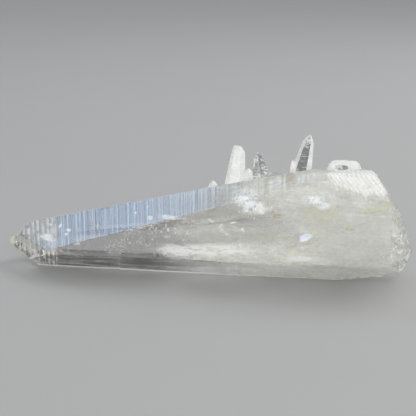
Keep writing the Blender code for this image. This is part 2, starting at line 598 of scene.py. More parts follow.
# Soft blots just below the surface: the centre, the reach along each axis, and the share.
YELLOW_BLOTS = (
    ((0.0492, -0.0160, 0.0312), (0.0075, 0.0120, 0.0036), 0.85),
    ((0.0668, -0.0160, 0.0328), (0.0040, 0.0120, 0.0009), 0.80),
    ((0.0702, -0.0160, 0.0341), (0.0040, 0.0120, 0.0010), 0.90),
    ((0.0736, -0.0160, 0.0362), (0.0026, 0.0120, 0.0014), 0.80),
    ((0.0310, -0.0160, 0.0225), (0.0090, 0.0120, 0.0028), 0.35),
    ((0.0080, -0.0160, 0.0240), (0.0070, 0.0120, 0.0020), 0.30),
    ((-0.0350, -0.0160, 0.0110), (0.0030, 0.0120, 0.0022), 0.30),
)
IRON_BLOTS = (
    ((0.0369, -0.0090, 0.0436), (0.0022, 0.0090, 0.0024), 0.75),
    ((0.0333, -0.0160, 0.0298), (0.0021, 0.0120, 0.0012), 0.85),
    ((0.0318, -0.0160, 0.0311), (0.0011, 0.0120, 0.0008), 0.75),
    ((0.0160, -0.0160, 0.0285), (0.0022, 0.0120, 0.0012), 0.65),
    ((0.0215, -0.0160, 0.0318), (0.0022, 0.0120, 0.0012), 0.55),
    ((0.0410, -0.0160, 0.0330), (0.0020, 0.0120, 0.0010), 0.35),
)
# White flakes just below the surface, with painted glints of light on them.
WHITE_BLOTS = (
    ((-0.0588, -0.0115, 0.0143), (0.0036, 0.0060, 0.0008), 1.00),
    ((-0.0603, -0.0080, 0.0175), (0.0014, 0.0060, 0.0004), 0.90),
    ((-0.0600, -0.0050, 0.0190), (0.0004, 0.0050, 0.0012), 0.90),
    ((-0.0553, -0.0064, 0.0180), (0.0006, 0.0040, 0.0006), 0.80),
    ((-0.0506, -0.0101, 0.0175), (0.0011, 0.0040, 0.0004), 0.70),
    ((-0.0507, -0.0121, 0.0164), (0.0007, 0.0040, 0.0003), 0.55),
    ((-0.0380, -0.0115, 0.0205), (0.0005, 0.0040, 0.0005), 0.70),
    ((-0.0230, -0.0095, 0.0259), (0.0004, 0.0040, 0.0004), 0.90),
    ((-0.0186, -0.0078, 0.0281), (0.0003, 0.0040, 0.0003), 0.80),
    ((-0.0158, -0.0143, 0.0256), (0.0011, 0.0060, 0.0006), 0.60),
    ((-0.0060, -0.0160, 0.0268), (0.0062, 0.0060, 0.0007), 0.60),
    ((0.0205, -0.0160, 0.0350), (0.0052, 0.0120, 0.0024), 0.90),
    ((0.0245, -0.0160, 0.0328), (0.0060, 0.0120, 0.0034), 0.95),
    ((0.0215, -0.0160, 0.0372), (0.0050, 0.0120, 0.0016), 0.70),
    ((0.0470, -0.0160, 0.0365), (0.0045, 0.0120, 0.0022), 0.85),
    ((0.0500, -0.0160, 0.0345), (0.0030, 0.0120, 0.0016), 0.60),
    ((0.0420, -0.0160, 0.0140), (0.0040, 0.0120, 0.0010), 0.55),
)
CLEAR_WINDOWS = (
    ((0.0235, -0.0160, 0.0345), (0.0080, 0.0150, 0.0045), 0.85),
    ((0.0480, -0.0160, 0.0362), (0.0055, 0.0150, 0.0028), 0.40),
    ((0.0438, -0.0160, 0.0215), (0.0040, 0.0150, 0.0030), 0.90),
    ((0.0435, -0.0160, 0.0175), (0.0026, 0.0150, 0.0014), 0.20),
    ((0.0602, -0.0160, 0.0264), (0.0016, 0.0150, 0.0006), 0.70),
    ((0.0110, -0.0160, 0.0285), (0.0090, 0.0150, 0.0028), 0.55),
    ((0.0230, -0.0160, 0.0240), (0.0050, 0.0150, 0.0020), 0.40),
    ((0.0780, -0.0160, 0.0180), (0.0055, 0.0200, 0.0060), 0.55),
)


def haze_tone(finish, settings, streaks, mottle, drift):
    """The colour of the milky quartz: grey to white wisps with yellow and iron blots in it."""
    ragged = finish.noise(560.0, 5.0, 0.7, 0.5)
    wisps = (streaks * 0.70 + mottle * 0.30).fade(0.36, 0.64)
    tone = finish.blend(wisps, colour(settings.dim_milk_colour), colour(settings.milk_colour))
    tone = finish.blend(drift.fade(0.48, 0.70) * 0.35, tone, colour(settings.yellow_colour))
    for blots, stain in ((YELLOW_BLOTS, settings.yellow_colour), (IRON_BLOTS, settings.stain_colour)):
        share = None
        for centre, reach, amount in blots:
            blot = finish.spot(centre, reach, ragged) * amount
            share = blot if share is None else share.over(blot)
        if blots is IRON_BLOTS:
            share = share * finish.noise(1300.0, 5.0, 0.75, 0.8).fade(0.34, 0.50)
        tone = finish.blend(share, tone, colour(stain))
    threads = finish.noise(430.0, 7.0, 0.72, 1.4, (0.34, 1.0, 1.0), (0.0, -0.12, 0.0))
    tone = finish.blend(threads.fade(0.55, 0.66) * 0.60, tone, (0.95, 0.96, 0.94, 1.0))
    dark = threads.fade(0.45, 0.33) * (0.55 - 0.35 * finish.painted("broken"))
    tone = finish.blend(dark, tone, (0.33, 0.34, 0.30, 1.0))
    murk = finish.noise(58.0, 4.0, 0.6, 0.8, (0.55, 1.0, 1.0), (0.0, -0.10, 0.0)).fade(0.56, 0.36)
    tone = finish.blend(murk * 0.42, tone, (0.40, 0.41, 0.35, 1.0))
    length, height = finish.length_and_height()
    grey = length.hump(0.060, 0.020) * height.hump(0.020, 0.014) * 0.60
    return finish.blend(grey, tone, (0.42, 0.43, 0.40, 1.0))


def haze_share(finish, length, height, streaks, mottle):
    """How milky the quartz just below the surface is: clear at the point, milky at the root."""
    begins = height.hump(0.0245, 0.0090) * 0.020 - height.hump(0.0130, 0.0048) * 0.020
    spread = (finish.noise(95.0, 3.0, 0.6, 0.6) - 0.5) * 0.030
    amount = (length + spread - begins).fade(-0.006, 0.034)
    thickness = 0.40 + streaks.fade(0.32, 0.68) * 0.32 + mottle.fade(0.38, 0.66) * 0.20
    share = amount * thickness * (1.0 - finish.painted("broken") * 0.45)
    ragged = finish.noise(330.0, 4.0, 0.6, 0.4)
    for centre, reach, amount in CLEAR_WINDOWS:
        share = share * (1.0 - finish.spot(centre, reach, ragged) * amount)
    return share


def growth_edges(finish, facets):
    """The edges between the long facets, frosted white partly as wear and partly as a painted highlight, as a share
    that is 1 on an edge.
    """
    names = {"upper_back": UPPER_BACK, "upper_front": UPPER_FRONT, "front": FRONT, "lower_front": LOWER_FRONT}
    gaps = {}
    for name, direction in names.items():
        number = facets.nearest_to(direction)
        gaps[name] = finish.gap(facets.normals[number], facets.heights[number])
    worn = finish.noise(380.0, 3.0, 0.6)
    pairs = (("upper_back", "upper_front", 0.8), ("upper_front", "front", 0.55), ("front", "lower_front", 0.25))
    share = None
    for first, second, amount in pairs:
        near = gaps[first].fade(-0.00042, -0.00012) * gaps[second].fade(-0.00042, -0.00012) * amount
        share = near if share is None else share.over(near)
    return share * worn.fade(0.30, 0.60), gaps


def shade_under_edge(finish, from_front, from_strip, length):
    """Painted shade on the narrow face low on the front, where the clear part mirrors its own shadow, and painted
    light on that face further right.
    """
    on_strip = from_strip.fade(-0.00035, -0.00015) * from_front.fade(0.0002, -0.0003)
    streaks = finish.noise(330.0, 4.0, 0.6, 0.3, (0.22, 1.0, 1.0)).fade(0.74, 0.42)
    dim = on_strip * streaks * length.fade(0.014, -0.024) * length.fade(-0.072, -0.062) * 0.90
    return dim, on_strip * length.fade(0.010, 0.030) * length.fade(0.072, 0.058) * 0.80


def clear_quartz(settings, facets):
    """Glassy quartz, lined by its growth, frosted where it is painted and milky at the root."""
    finish = Finish("clear_quartz")
    frost = finish.painted("frost")
    cream = finish.painted("cream") * (1.0 - finish.painted("side"))
    root = finish.painted("root")
    white = finish.painted("white")
    length, height = finish.length_and_height()
    fine = finish.noise(420.0, 4.0, 0.6, 0.2, (0.35, 1.0, 1.0))
    grain = finish.noise(1500.0, 3.0, 0.6)
    pits = finish.noise(700.0, 2.0, 0.5, 0.6).fade(0.66, 0.74)
    streaks = finish.noise(170.0, 7.0, 0.68, 0.6, (0.42, 1.0, 1.0), (0.0, -0.06, 0.0))
    mottle = finish.noise(900.0, 6.0, 0.72, 0.5, (0.62, 1.0, 1.0))
    drift = finish.noise(60.0, 3.0, 0.5, 0.5, (0.6, 1.0, 1.0))
    # The frosted edges are partly wear and partly a painted highlight along each edge.
    edges, gaps = growth_edges(finish, facets)
    from_ridge, from_blue = gaps["upper_back"], gaps["upper_front"]
    from_front, from_strip = gaps["front"], gaps["lower_front"]
    broad_lines = finish.lines(900.0, 2.0, 0.6)
    thin_lines = finish.lines(2400.0, 1.0, 0.5)
    on_blue = from_blue.fade(-0.0006, -0.0002) * from_ridge.fade(0.0006, -0.0001)
    lined = on_blue * from_ridge.fade(-0.024, -0.001) * (0.55 + 0.45 * finish.noise(140.0, 2.0).fade(0.35, 0.6))
    lined = lined * length.fade(-0.064, -0.055)
    contrast = (broad_lines * 0.45 + thin_lines * 0.55 - 0.5) * 2.0
    strong = (contrast * contrast * 14.0).fade(0.05, 0.9)
    line_share = strong * lined * length.fade(0.024, 0.004) * settings.line_strength
    # The growth lines are real; their light and dark blue tones are a painted reflection of blue sky.
    line_tone = finish.blend(contrast.fade(-0.02, 0.02), (0.12, 0.17, 0.25, 1.0), (0.52, 0.61, 0.74, 1.0))
    low_left = (length.fade(-0.030, -0.044) * from_ridge.fade(-0.004, -0.010)).over(length.fade(-0.054, -0.060))
    # Painted reflection and shade: a blue-grey tone over the upper front face, and a dark grey at its lower left.
    painted_reflection_shade = on_blue * length.fade(0.016, 0.000) * (0.58 + 0.18 * length.fade(-0.036, -0.050))
    painted_reflection_shade_tone = finish.blend(length.fade(-0.030, 0.004), (0.165, 0.20, 0.25, 1.0), (0.28, 0.31, 0.33, 1.0))
    painted_reflection_shade_tone = finish.blend(low_left, painted_reflection_shade_tone, (0.15, 0.15, 0.16, 1.0))
    # Painted shade: an even dark grey band on the front face just above its lower edge.
    painted_band_shade = from_front.fade(-0.0006, -0.0002) * from_strip.fade(-0.0032, -0.0008) * from_strip.fade(0.0002, -0.0001)
    painted_band_shade = painted_band_shade * length.fade(-0.010, -0.020) * length.fade(-0.066, -0.058) * 0.62
    bumps = fine * 0.6 + grain * 0.25 + pits * 0.5 + (broad_lines + thin_lines) * lined * 0.7
    normal = finish.bump(bumps, 0.22, 0.00012)
    glass = finish.principled(
        {
            "Base Color": (1.0, 1.0, 1.0, 1.0),
            "Roughness": 0.012 + root * (0.04 + 0.08 * fine) + frost * 0.2,
            "IOR": 1.544,
            "Transmission Weight": 1.0,
            "Normal": normal,
        }
    )
    streaked = finish.noise(900.0, 4.0, 0.6, 0.2, (1.0, 1.0, 0.14))
    pale = finish.blend(streaked.fade(0.30, 0.70), (0.74, 0.76, 0.75, 1.0), colour(settings.frost_colour))
    tone = finish.blend(cream, pale, colour(settings.cream_colour))
    # Painted highlight: a white frosted line along the bottom edge, just above the floor.
    rim = height.fade(0.0015, 0.0008) * height.fade(0.00002, 0.00008) * finish.noise(260.0, 3.0).fade(0.12, 0.40)
    # Painted light: the grooved patch is lifted to near white.
    tone = finish.blend(finish.painted("bright").over(rim), tone, (0.97, 0.97, 0.96, 1.0))
    rough = finish.noise(900.0, 4.0, 0.65)
    dull = finish.principled(
        {"Base Color": tone, "Roughness": 0.38, "IOR": 1.544, "Normal": finish.bump(rough, 0.5, 0.0002)}
    )
    frosted = finish.mix(0.42, dull, finish.glow(settings.frost_colour))
    milk_tone = haze_tone(finish, settings, streaks, mottle, drift)
    band = (height - length * 0.06).hump(0.0147, 0.0036) * length.fade(-0.022, -0.008) * length.fade(0.034, 0.016)
    band = band * finish.noise(520.0, 6.0, 0.70, 0.6, (0.30, 1.0, 1.0)).fade(0.38, 0.54)
    milk_tone = finish.blend(band, milk_tone, (0.96, 0.97, 0.96, 1.0))
    splinters = finish.noise(300.0, 5.0, 0.66, 1.3)
    low_break = finish.painted("broken") * height.fade(0.031, 0.023)
    pale_chips, dark_chips = low_break * splinters.fade(0.54, 0.58), low_break * splinters.fade(0.45, 0.40)
    milk_tone = finish.blend(pale_chips, milk_tone, (0.97, 0.98, 0.97, 1.0))
    milk_tone = finish.blend(dark_chips, milk_tone, (0.22, 0.23, 0.22, 1.0))
    milk_tone = finish.blend(painted_reflection_shade.fade(0.0, 0.1), milk_tone, painted_reflection_shade_tone)
    milk_tone = finish.blend(painted_band_shade.fade(0.0, 0.1), milk_tone, (0.27, 0.27, 0.26, 1.0))
    milk_tone = finish.blend(line_share.fade(0.0, 0.1), milk_tone, line_tone)
    # Painted shade on the low front face at the left, and painted light on it at the right.
    painted_strip_shade, painted_strip_light = shade_under_edge(finish, from_front, from_strip, length)
    milk_tone = finish.blend(painted_strip_light, milk_tone, (0.97, 0.98, 0.94, 1.0))
    milk_tone = finish.blend(painted_strip_shade.fade(0.0, 0.05), milk_tone, (0.075, 0.085, 0.075, 1.0))
    # White flakes with painted glints, bluish to warm white by a noise.
    blots = finish.noise(700.0, 4.0, 0.7, 0.8, (0.7, 1.0, 1.0))
    flash = None
    for centre, reach, amount in WHITE_BLOTS:
        blot = finish.spot(centre, reach, blots) * amount
        flash = blot if flash is None else flash.over(blot)
    flash = flash * finish.noise(850.0, 6.0, 0.72, 1.6, (0.7, 1.0, 1.0), (0.0, 0.5, 0.0)).fade(0.38, 0.56)
    gleam = finish.noise(500.0, 2.0, 0.5, 1.0)
    flash_tone = finish.blend(gleam.fade(0.35, 0.65), (0.80, 0.90, 1.0, 1.0), (1.0, 0.99, 0.97, 1.0))
    milk_tone = finish.blend(flash.fade(0.0, 0.1), milk_tone, flash_tone)
    deep = finish.principled(
        {"Base Color": milk_tone, "Roughness": 0.10 + 0.16 * fine, "IOR": 1.544, "Normal": normal}
    )
    brightness = Level(finish, finish.node("RGBToBW", {}, {0: milk_tone}).outputs[0])
    milky = finish.mix(brightness.fade(0.20, 0.75) * 0.32, deep, finish.glow(settings.milk_colour))
    haze = haze_share(finish, length, height, streaks, mottle).over(band * 0.80).over(line_share)
    haze = haze.over(flash).over(painted_strip_shade).over(painted_reflection_shade).over(painted_band_shade).over(pale_chips * 0.70).over(dark_chips * 0.50)
    side = finish.painted("side")
    surface = finish.mix(haze * (1.0 - side), glass, milky)
    # Painted shade: a near-black glass on the front faces of some side crystals and in the hollow.
    painted_dark_glass = finish.principled({"Base Color": (0.085, 0.095, 0.105, 1.0), "Roughness": 0.08, "IOR": 1.544})
    patches = finish.noise(230.0, 3.0, 0.5, 1.0).fade(0.42, 0.54)
    smoke = finish.painted("smoke") * (0.25 + 0.75 * patches.over(finish.painted("ticked")))
    surface = finish.mix(smoke, surface, painted_dark_glass)
    whole = finish.noise(300.0, 5.0, 0.6, 0.4, (0.4, 1.0, 1.0))
    chalk = finish.painted("chalky") * finish.noise(300.0, 5.0, 0.6, 1.6).fade(0.55, 0.59) * 0.90
    ticks = finish.noise(2300.0, 1.0, 0.5, 0.3, (0.16, 0.16, 1.0), (0.0, 0.19, 0.0)).fade(0.54, 0.62)
    ticks = ticks * finish.painted("ticked") * finish.noise(240.0, 2.0).fade(0.44, 0.58) * 0.75
    whole = (0.55 + 0.9 * whole).over(finish.painted("bright") * 1.15)
    share = (frost * whole * (1.0 - side)).over(rim * 0.95).over(edges).over(white).over(chalk)
    share = share.over(ticks)
    surface = finish.mix(share.fade(0.0, 1.0), surface, frosted)
    lit = finish.lets_lamps_through(surface, 0.50 + length.fade(-0.045, 0.010) * 0.42)
    volume = finish.node(
        "VolumeAbsorption",
        {},
        {"Color": colour(settings.clear_tint), "Density": settings.clear_density},
    ).outputs[0]
    return finish.finished(lit, volume)


def milky_cloud(settings):
    """Wisps of tiny bubbles, thick where they are painted with milk."""
    finish = Finish("milky_cloud")
    milk = finish.painted("milk")
    wisps = finish.noise(75.0, 6.0, 0.62, 0.9, (0.38, 1.0, 1.0), (0.0, -0.05, 0.0))
    threads = finish.noise(260.0, 5.0, 0.66, 1.4, (0.30, 1.0, 1.0), (0.0, 0.10, 0.0))
    specks = finish.noise(1400.0, 2.0, 0.5).fade(0.60, 0.74)
    thick = wisps.fade(0.40, 0.66) * 0.8 + threads.fade(0.45, 0.75) * 0.7 + specks * 0.35 + 0.22
    tone = finish.blend(threads.fade(0.35, 0.75), colour(settings.dim_milk_colour), colour(settings.milk_colour))
    dull = finish.principled({"Base Color": tone, "Roughness": 0.9, "Specular IOR Level": 0.0})
    body = finish.mix(0.5, dull, finish.glow(settings.milk_colour))
    share = (milk * thick * settings.milk).fade(0.0, 1.0)
    return finish.finished(finish.mix(share, finish.clear(), body))


# ---------------------------------------------------------------- the grown solid


def copy_of_solid(name):
    """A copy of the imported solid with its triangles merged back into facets."""
    obj = bpy.data.objects.new(name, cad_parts[SOLID].data.copy())
    bpy.context.scene.collection.objects.link(obj)
    obj.data.materials.clear()
    edit(obj)
    bpy.ops.mesh.remove_doubles(threshold=1e-6)
    bpy.ops.mesh.dissolve_limited(angle_limit=math.radians(0.5))
    leave()
    return obj


def facet_facing(mesh, direction):
    """The largest facet that looks within about 20 degrees of a direction."""
    near = [face for face in mesh.polygons if face.normal.dot(direction) > 0.94]
    return max(near, key=lambda face: face.area)


def cut_off_side_crystals(obj):
    facet = facet_facing(obj.data, UPPER_BACK)
    point = obj.data.vertices[facet.vertices[0]].co.copy()
    normal = facet.normal.copy()
    edit(obj)
    bisect(point - normal * 2e-5, normal, fill=True, clear_outer=True)
    bpy.ops.mesh.select_all(action="SELECT")
    bpy.ops.mesh.dissolve_limited(angle_limit=math.radians(0.5))
    leave()


FACET_AREA = 60e-6
POINT_ENDS = -0.060


class Facets:
    """The planes that bound the long crystal: its plane facets, then the rough root planes."""

    def __init__(self, mesh):
        large = [face for face in mesh.polygons if face.area > FACET_AREA or face.center.x < POINT_ENDS]
        planes = [(face.normal.copy(), face.normal.dot(face.center)) for face in large]
        self.large = len(planes)
        for point, turn, rise in ROOT_PLANES.values():
            normal = looking(turn, rise)
            planes.append((normal, normal.dot(Vector(point) + MIDDLE)))
        self.normals = np.array([plane[0] for plane in planes])
        self.heights = np.array([plane[1] for plane in planes])

    def nearest_to(self, direction):
        return int(np.argmax(self.normals @ np.array(direction)))

    def is_floor(self, number):
        return self.normals[number][2] < -0.99

    def is_chip(self, number):
        return self.normals[number] @ np.array(AXIS) < -0.9

    def is_point_face(self, number):
        return number < self.large and -0.9 < self.normals[number] @ np.array(AXIS) < -0.42

    def inside(self, x, z, depth):
        """A point at a depth behind the face that a level line from the front meets."""
        x += MIDDLE.x
        on_face = np.array([x, self.entry(x, z), z])
        face = (self.normals @ on_face - self.heights).argmax()
        return on_face - self.normals[face] * depth

    def entry(self, x, z):
        """The Y at which a level line from the front meets the crystal."""
        front = self.normals[:, 1] < -0.1
        normals, heights = self.normals[front], self.heights[front]
        return ((heights - normals[:, 0] * x - normals[:, 2] * z) / normals[:, 1]).max()

    def depth(self, points):
        """How far inside the faces each point lies."""
        return -(points @ self.normals.T - self.heights).max(axis=1)

    def is_prism_face(self, number):
        normal = self.normals[number]
        return number < self.large and abs(normal @ np.array(AXIS)) < 0.32 and abs(normal[0]) < 0.32


def growth_angle(x, y):
    return np.arctan2(x - FAN_X, y - FAN_Y)


START = growth_angle(FAN_START + MIDDLE.x, MIDDLE.y)


def growth(points):
    """How far each point lies along the growth, from the end of the point towards the root."""
    return (growth_angle(points[:, 0], points[:, 1]) - START) * FAN_REACH


def growth_plane(station):
    angle = START + station / FAN_REACH
    return Vector((FAN_X, FAN_Y, 0.0)), Vector((math.cos(angle), -math.sin(angle), 0.0))


RISER = 0.00003
BOLD_RISER = 0.00011
WORN = 0.00040
TERRACE_START = 0.0036
TERRACE_END = 0.0180
OLD_LINE = 0.0345
COLUMNS = 18


def cut_growth_lines(obj, stations):
    """Cuts the mesh across the growth at each station, and along it at each turn."""
    edit(obj)
    for station in stations:
        bpy.ops.mesh.select_all(action="SELECT")
        bisect(*growth_plane(station))
    for column in range(COLUMNS):
        angle = math.pi * (column + 0.31) / COLUMNS
        across = Vector((0.0, math.cos(angle), math.sin(angle)))
        bpy.ops.mesh.select_all(action="SELECT")
        bisect(TIP + AXIS * 0.02, AXIS.cross(across).normalized())
    leave()


ROOT_CELL = 0.0013
BREAK_BEGINS = 0.0560


def lattice_on_break(obj, facets):
    """Cuts the faces of the root's break by level and upright planes."""
    mesh = obj.data
    toward_root = facets.normals[facets.large:]
    edit(obj)
    leave()
    for axis, low, high in ((1, CAD_BOX[0][1], CAD_BOX[1][1]), (2, 0.0, 0.046)):
        normal = Vector((0.0, 0.0, 0.0))
        normal[axis] = 1.0
        for step in range(1, int((high - low) / ROOT_CELL)):
            centres = np.empty(len(mesh.polygons) * 3)
            mesh.polygons.foreach_get("center", centres)
            centres = centres.reshape(-1, 3)
            gaps = centres @ facets.normals.T - facets.heights
            on_break = (gaps[:, facets.large:].max(axis=1) > -0.0022) & (centres[:, 0] > BREAK_BEGINS)
            mesh.polygons.foreach_set("select", on_break)
            bpy.ops.object.mode_set(mode="EDIT")
            bisect(normal * (low + step * ROOT_CELL), normal)
            leave()


# The grooved white patch near the top of the root: its middle, its reach along and over, the
# angle at which it slopes down, and the slant of its grooves in degrees.
BRIGHT_MIDDLE = Vector((0.0640, -0.0125, 0.0438)) + MIDDLE
BRIGHT_REACH = (0.0126, 0.0056)
BRIGHT_SLOPE = math.radians(12)
GROOVE = 0.00135
GROOVE_SLANT = math.radians(57)
ACROSS_GROOVES = ACROSS * math.sin(GROOVE_SLANT) + RISING * math.cos(GROOVE_SLANT)
GROOVE_DEPTH = 0.00024
GROOVE_RISE = 0.15


def bright_place(points):
    """How far along and how far over the grooved patch each point lies."""
    gaps = points - np.array(BRIGHT_MIDDLE)
    across, rising = gaps @ np.array(ACROSS), gaps @ np.array(RISING)
    along = across * math.cos(BRIGHT_SLOPE) - rising * math.sin(BRIGHT_SLOPE)
    over = across * math.sin(BRIGHT_SLOPE) + rising * math.cos(BRIGHT_SLOPE)
    return along, np.where(gaps[:, 1] < 0.010, over, -1.0)


def bright_share(points):
    """1 inside the grooved patch, falling to 0 at its ragged rim."""
    along, over = bright_place(points)
    reach = np.hypot(along / BRIGHT_REACH[0], over / BRIGHT_REACH[1])
    return 1 - smooth_step(0.86, 1.04, reach + 0.10 * noise_at(points, 0.0022, 21.0, 2))


def groove_bright_facet(obj):
    """Cuts the patch free, then cuts it by slanting lines, three to a groove."""
    slope_along = ACROSS * math.cos(BRIGHT_SLOPE) - RISING * math.sin(BRIGHT_SLOPE)
    slope_over = ACROSS * math.sin(BRIGHT_SLOPE) + RISING * math.cos(BRIGHT_SLOPE)
    edit(obj)
    bisect(BRIGHT_MIDDLE - slope_over * 1.15 * BRIGHT_REACH[1], slope_over)
    bpy.ops.mesh.select_all(action="SELECT")
    bisect(BRIGHT_MIDDLE - slope_along * 1.15 * BRIGHT_REACH[0], slope_along)
    leave()
    for step in range(-11, 12):
        for share in (0.0, GROOVE_RISE, 0.6):
            mesh = obj.data
            centres = np.empty(len(mesh.polygons) * 3)
            mesh.polygons.foreach_get("center", centres)
            along, over = bright_place(centres.reshape(-1, 3))
            on_patch = (along > -1.15 * BRIGHT_REACH[0]) & (over > -1.15 * BRIGHT_REACH[1])
            mesh.polygons.foreach_set("select", on_patch)
            bpy.ops.object.mode_set(mode="EDIT")
            bisect(BRIGHT_MIDDLE + ACROSS_GROOVES * (step + share) * GROOVE, ACROSS_GROOVES)
            leave()


def groove_phase(points):
    """How far each point lies across its groove, from 0 to 1."""
    phase = (points - np.array(BRIGHT_MIDDLE)) @ np.array(ACROSS_GROOVES) / GROOVE
    return np.mod(phase + 1e-4, 1.0)


def stair(along, edges, slope, strength, height):
    """How far a stepped face lies inside its mean plane: level treads between sudden risers."""
    tread = np.clip(np.searchsorted(edges, along, side="right") - 1, 0, len(edges) - 2)
    rise = (along - edges[tread]) * max(slope, 0.0) * strength
    return rise + height[tread]


def chips(points, size):
    """Flat chips with sharp borders: each cell of a mosaic leans its own way."""
    depth = np.empty(len(points))
    for number, point in enumerate(points):
        centre = noise.voronoi(Vector(point) / size)[1][0]
        lean = noise.noise_vector(centre * 7.3)
        depth[number] = lean.dot(Vector(point) / size - centre) + 0.4 * noise.noise(centre * 3.1)
    return depth


def scallops(points, draw, depth):
    """Shallow shell-shaped hollows with sharp rims, as broken quartz has."""
    hollow = np.zeros(len(points))
    for _ in range(26):
        centre = np.array([draw.uniform(0.062, 0.084), draw.uniform(-0.026, 0.020), draw.uniform(0.0, 0.046)])
        reach = draw.uniform(0.004, 0.011)
        deep = depth * draw.uniform(0.35, 1.0) * reach / 0.009
        gap = np.linalg.norm(points - centre, axis=1)
        ripple = 0.06 * np.sin(gap / 0.0011)
        hollow = np.maximum(hollow, deep * (1 - (gap / reach) ** 2 + ripple))
    return np.maximum(hollow, 0.0)


def shape_crystal(mesh, facets, edges, settings, draw):
    """Moves each point to the stepped, worn and broken surface along its line from the axis."""
    points = coordinates(mesh)
    tip, axis = np.array(TIP), np.array(AXIS)
    along = growth(points)
    centre_along = np.clip((points - tip) @ axis, 0.010, 0.128)
    outward = points - (tip + centre_along[:, None] * axis)
    outward /= np.linalg.norm(outward, axis=1)[:, None]
    lumps = noise_at(points, 0.012, 3.0, 2)
    grain = noise_at(points * np.array([0.45, 1.0, 1.0]), 0.0024, 8.0, 3)
    hollows = scallops(points, draw, settings.scallop)
    broken = np.zeros(len(points))
    near_root = points[:, 0] > BREAK_BEGINS
    broken[near_root] = chips(points[near_root], 0.0042) + 0.5 * chips(points[near_root], 0.0019)
    root_share = smooth_step(0.080, 0.135, along)
    under = facets.nearest_to(UNDER_POINT)
    phase = groove_phase(points)
    groove = np.where(phase < GROOVE_RISE, phase / GROOVE_RISE, (1 - phase) / (1 - GROOVE_RISE))
    groove = GROOVE_DEPTH * groove * bright_share(points)
    inset = np.zeros((len(points), len(facets.normals)))
    for number, normal in enumerate(facets.normals):
        if facets.is_floor(number) or facets.is_chip(number):
            continue
        if facets.is_point_face(number):
            height = draw.uniform(0.0, 0.00012, len(edges))
            height[0] = 0.0
            above_edge = -(points @ facets.normals[under] - facets.heights[under])
            fades = smooth_step(0.002, 0.004, along) * smooth_step(0.0004, 0.0030, above_edge)
            inset[:, number] = stair(along, edges, 0.70, 0.40, height) * fades
        elif facets.is_prism_face(number):
            kept = np.sort(draw.choice(edges, int(len(edges) * 0.75), replace=False))
            kept = np.concatenate([[0.0], kept, [0.2]])
            slope = -normal @ axis
            roughness = 0.00004 if slope > 0.1 else 0.00001
            height = draw.uniform(0.0, roughness, len(kept))
            inset[:, number] = stair(along, kept, slope, settings.step, height) * (1 - 0.8 * root_share)
            if slope > 0.1:
                inset[:, number] += 0.00016 * hump(along, OLD_LINE, 0.00013)
        if number >= facets.large:
            inset[:, number] = 0.90 * hollows - 0.00010 + 0.00012 * grain + 0.00060 * broken
        else:
            inset[:, number] += root_share * (0.00030 + 0.00028 * lumps + 0.00010 * grain)
    inset += groove[:, None]
    width = 0.00003 + 0.00028 * smooth_step(0.085, 0.135, along)
    moved = points.copy()
    for _ in range(7):
        gap = moved @ facets.normals.T - facets.heights + inset
        top = gap.max(axis=1)
        weights = np.exp((gap - top[:, None]) / width[:, None])
        total = weights.sum(axis=1)
        field = top + width * np.log(total)
        weights /= total[:, None]
        slope = ((weights @ facets.normals) * outward).sum(axis=1)
        moved -= (field / np.maximum(slope, 0.25))[:, None] * outward
    moved[:, 2] = np.maximum(moved[:, 2], 0.0)
    place(mesh, moved)


def wear(mesh, facets, edges):
    """Paints the worn ribs of the point, the grooved facet and the broken root."""
    points = coordinates(mesh)
    along = growth(points)
    after = along - edges[np.clip(np.searchsorted(edges, along + 2 * RISER, side="right") - 1, 0, None)]
    rib = np.where(along < TERRACE_END + 0.0012, 1 - smooth_step(0.0, WORN, after), 0.0)
    patchy = 0.35 + 0.65 * smooth_step(-0.45, 0.05, noise_at(points, 0.0030, 31.0, 2))
    above_under = -(points @ facets.normals[facets.nearest_to(UNDER_POINT)]
                    - facets.heights[facets.nearest_to(UNDER_POINT)])
    rib = rib * smooth_step(0.0002, 0.0020, above_under)
    nub = 1 - smooth_step(0.0028, 0.0036, along)
    on_bright = bright_share(points)
    phase = groove_phase(points)
    # The frosted patch is lifted with painted light, whitest on one side of each groove as a painted highlight.
    bright = on_bright * np.where((phase < 0.3) | (phase > 0.9), 1.0, 0.50)
    gaps = points @ facets.normals.T - facets.heights
    on_break = smooth_step(-0.0016, -0.0006, gaps[:, facets.large:].max(axis=1))
    speckle = smooth_step(-0.1, 0.5, noise_at(points, 0.0030, 12.0, 3))
    frost = np.maximum.reduce([rib * patchy, nub * 0.9, bright, on_break * (0.06 + 0.40 * speckle)])
    paint(mesh, "frost", frost)
    point_end = np.where(along < TERRACE_END + 0.0012, 0.50, 0.0)
    paint(mesh, "cream", np.maximum.reduce([point_end, nub, on_break * 0.55]))
    paint(mesh, "root", smooth_step(0.095, 0.145, along))
    paint(mesh, "along", along)
    paint(mesh, "broken", on_break)
    paint(mesh, "bright", on_bright)


def long_crystal(settings):
    obj = copy_of_solid("long_crystal")
    cut_off_side_crystals(obj)
    facets = Facets(obj.data)
    draw = np.random.default_rng(settings.seed)
    terraces = rises(draw, TERRACE_START, TERRACE_END, settings.terrace, 0.12)
    steps = rises(draw, terraces[-1] + 0.0006, 0.150, settings.line_gap, 0.55)
    edges = np.concatenate([[0.0], terraces, steps])
    risers = np.where(draw.random(len(edges)) < 0.35, BOLD_RISER, RISER)
    old_line = OLD_LINE + np.array([-0.00020, -0.00008, 0.0, 0.00008, 0.00020])
    cuts = [edges - risers, edges + risers, terraces + WORN, [0.0012, 0.0020, 0.0026, 0.0044], old_line]
    root = rises(draw, 0.1507, 0.165, 0.0010, 0.2)
    groove_bright_facet(obj)
    lattice_on_break(obj, facets)
    cut_growth_lines(obj, np.sort(np.concatenate([*cuts, root])))
    shape_crystal(obj.data, facets, edges, settings, draw)
    wear(obj.data, facets, edges)
    return obj, facets


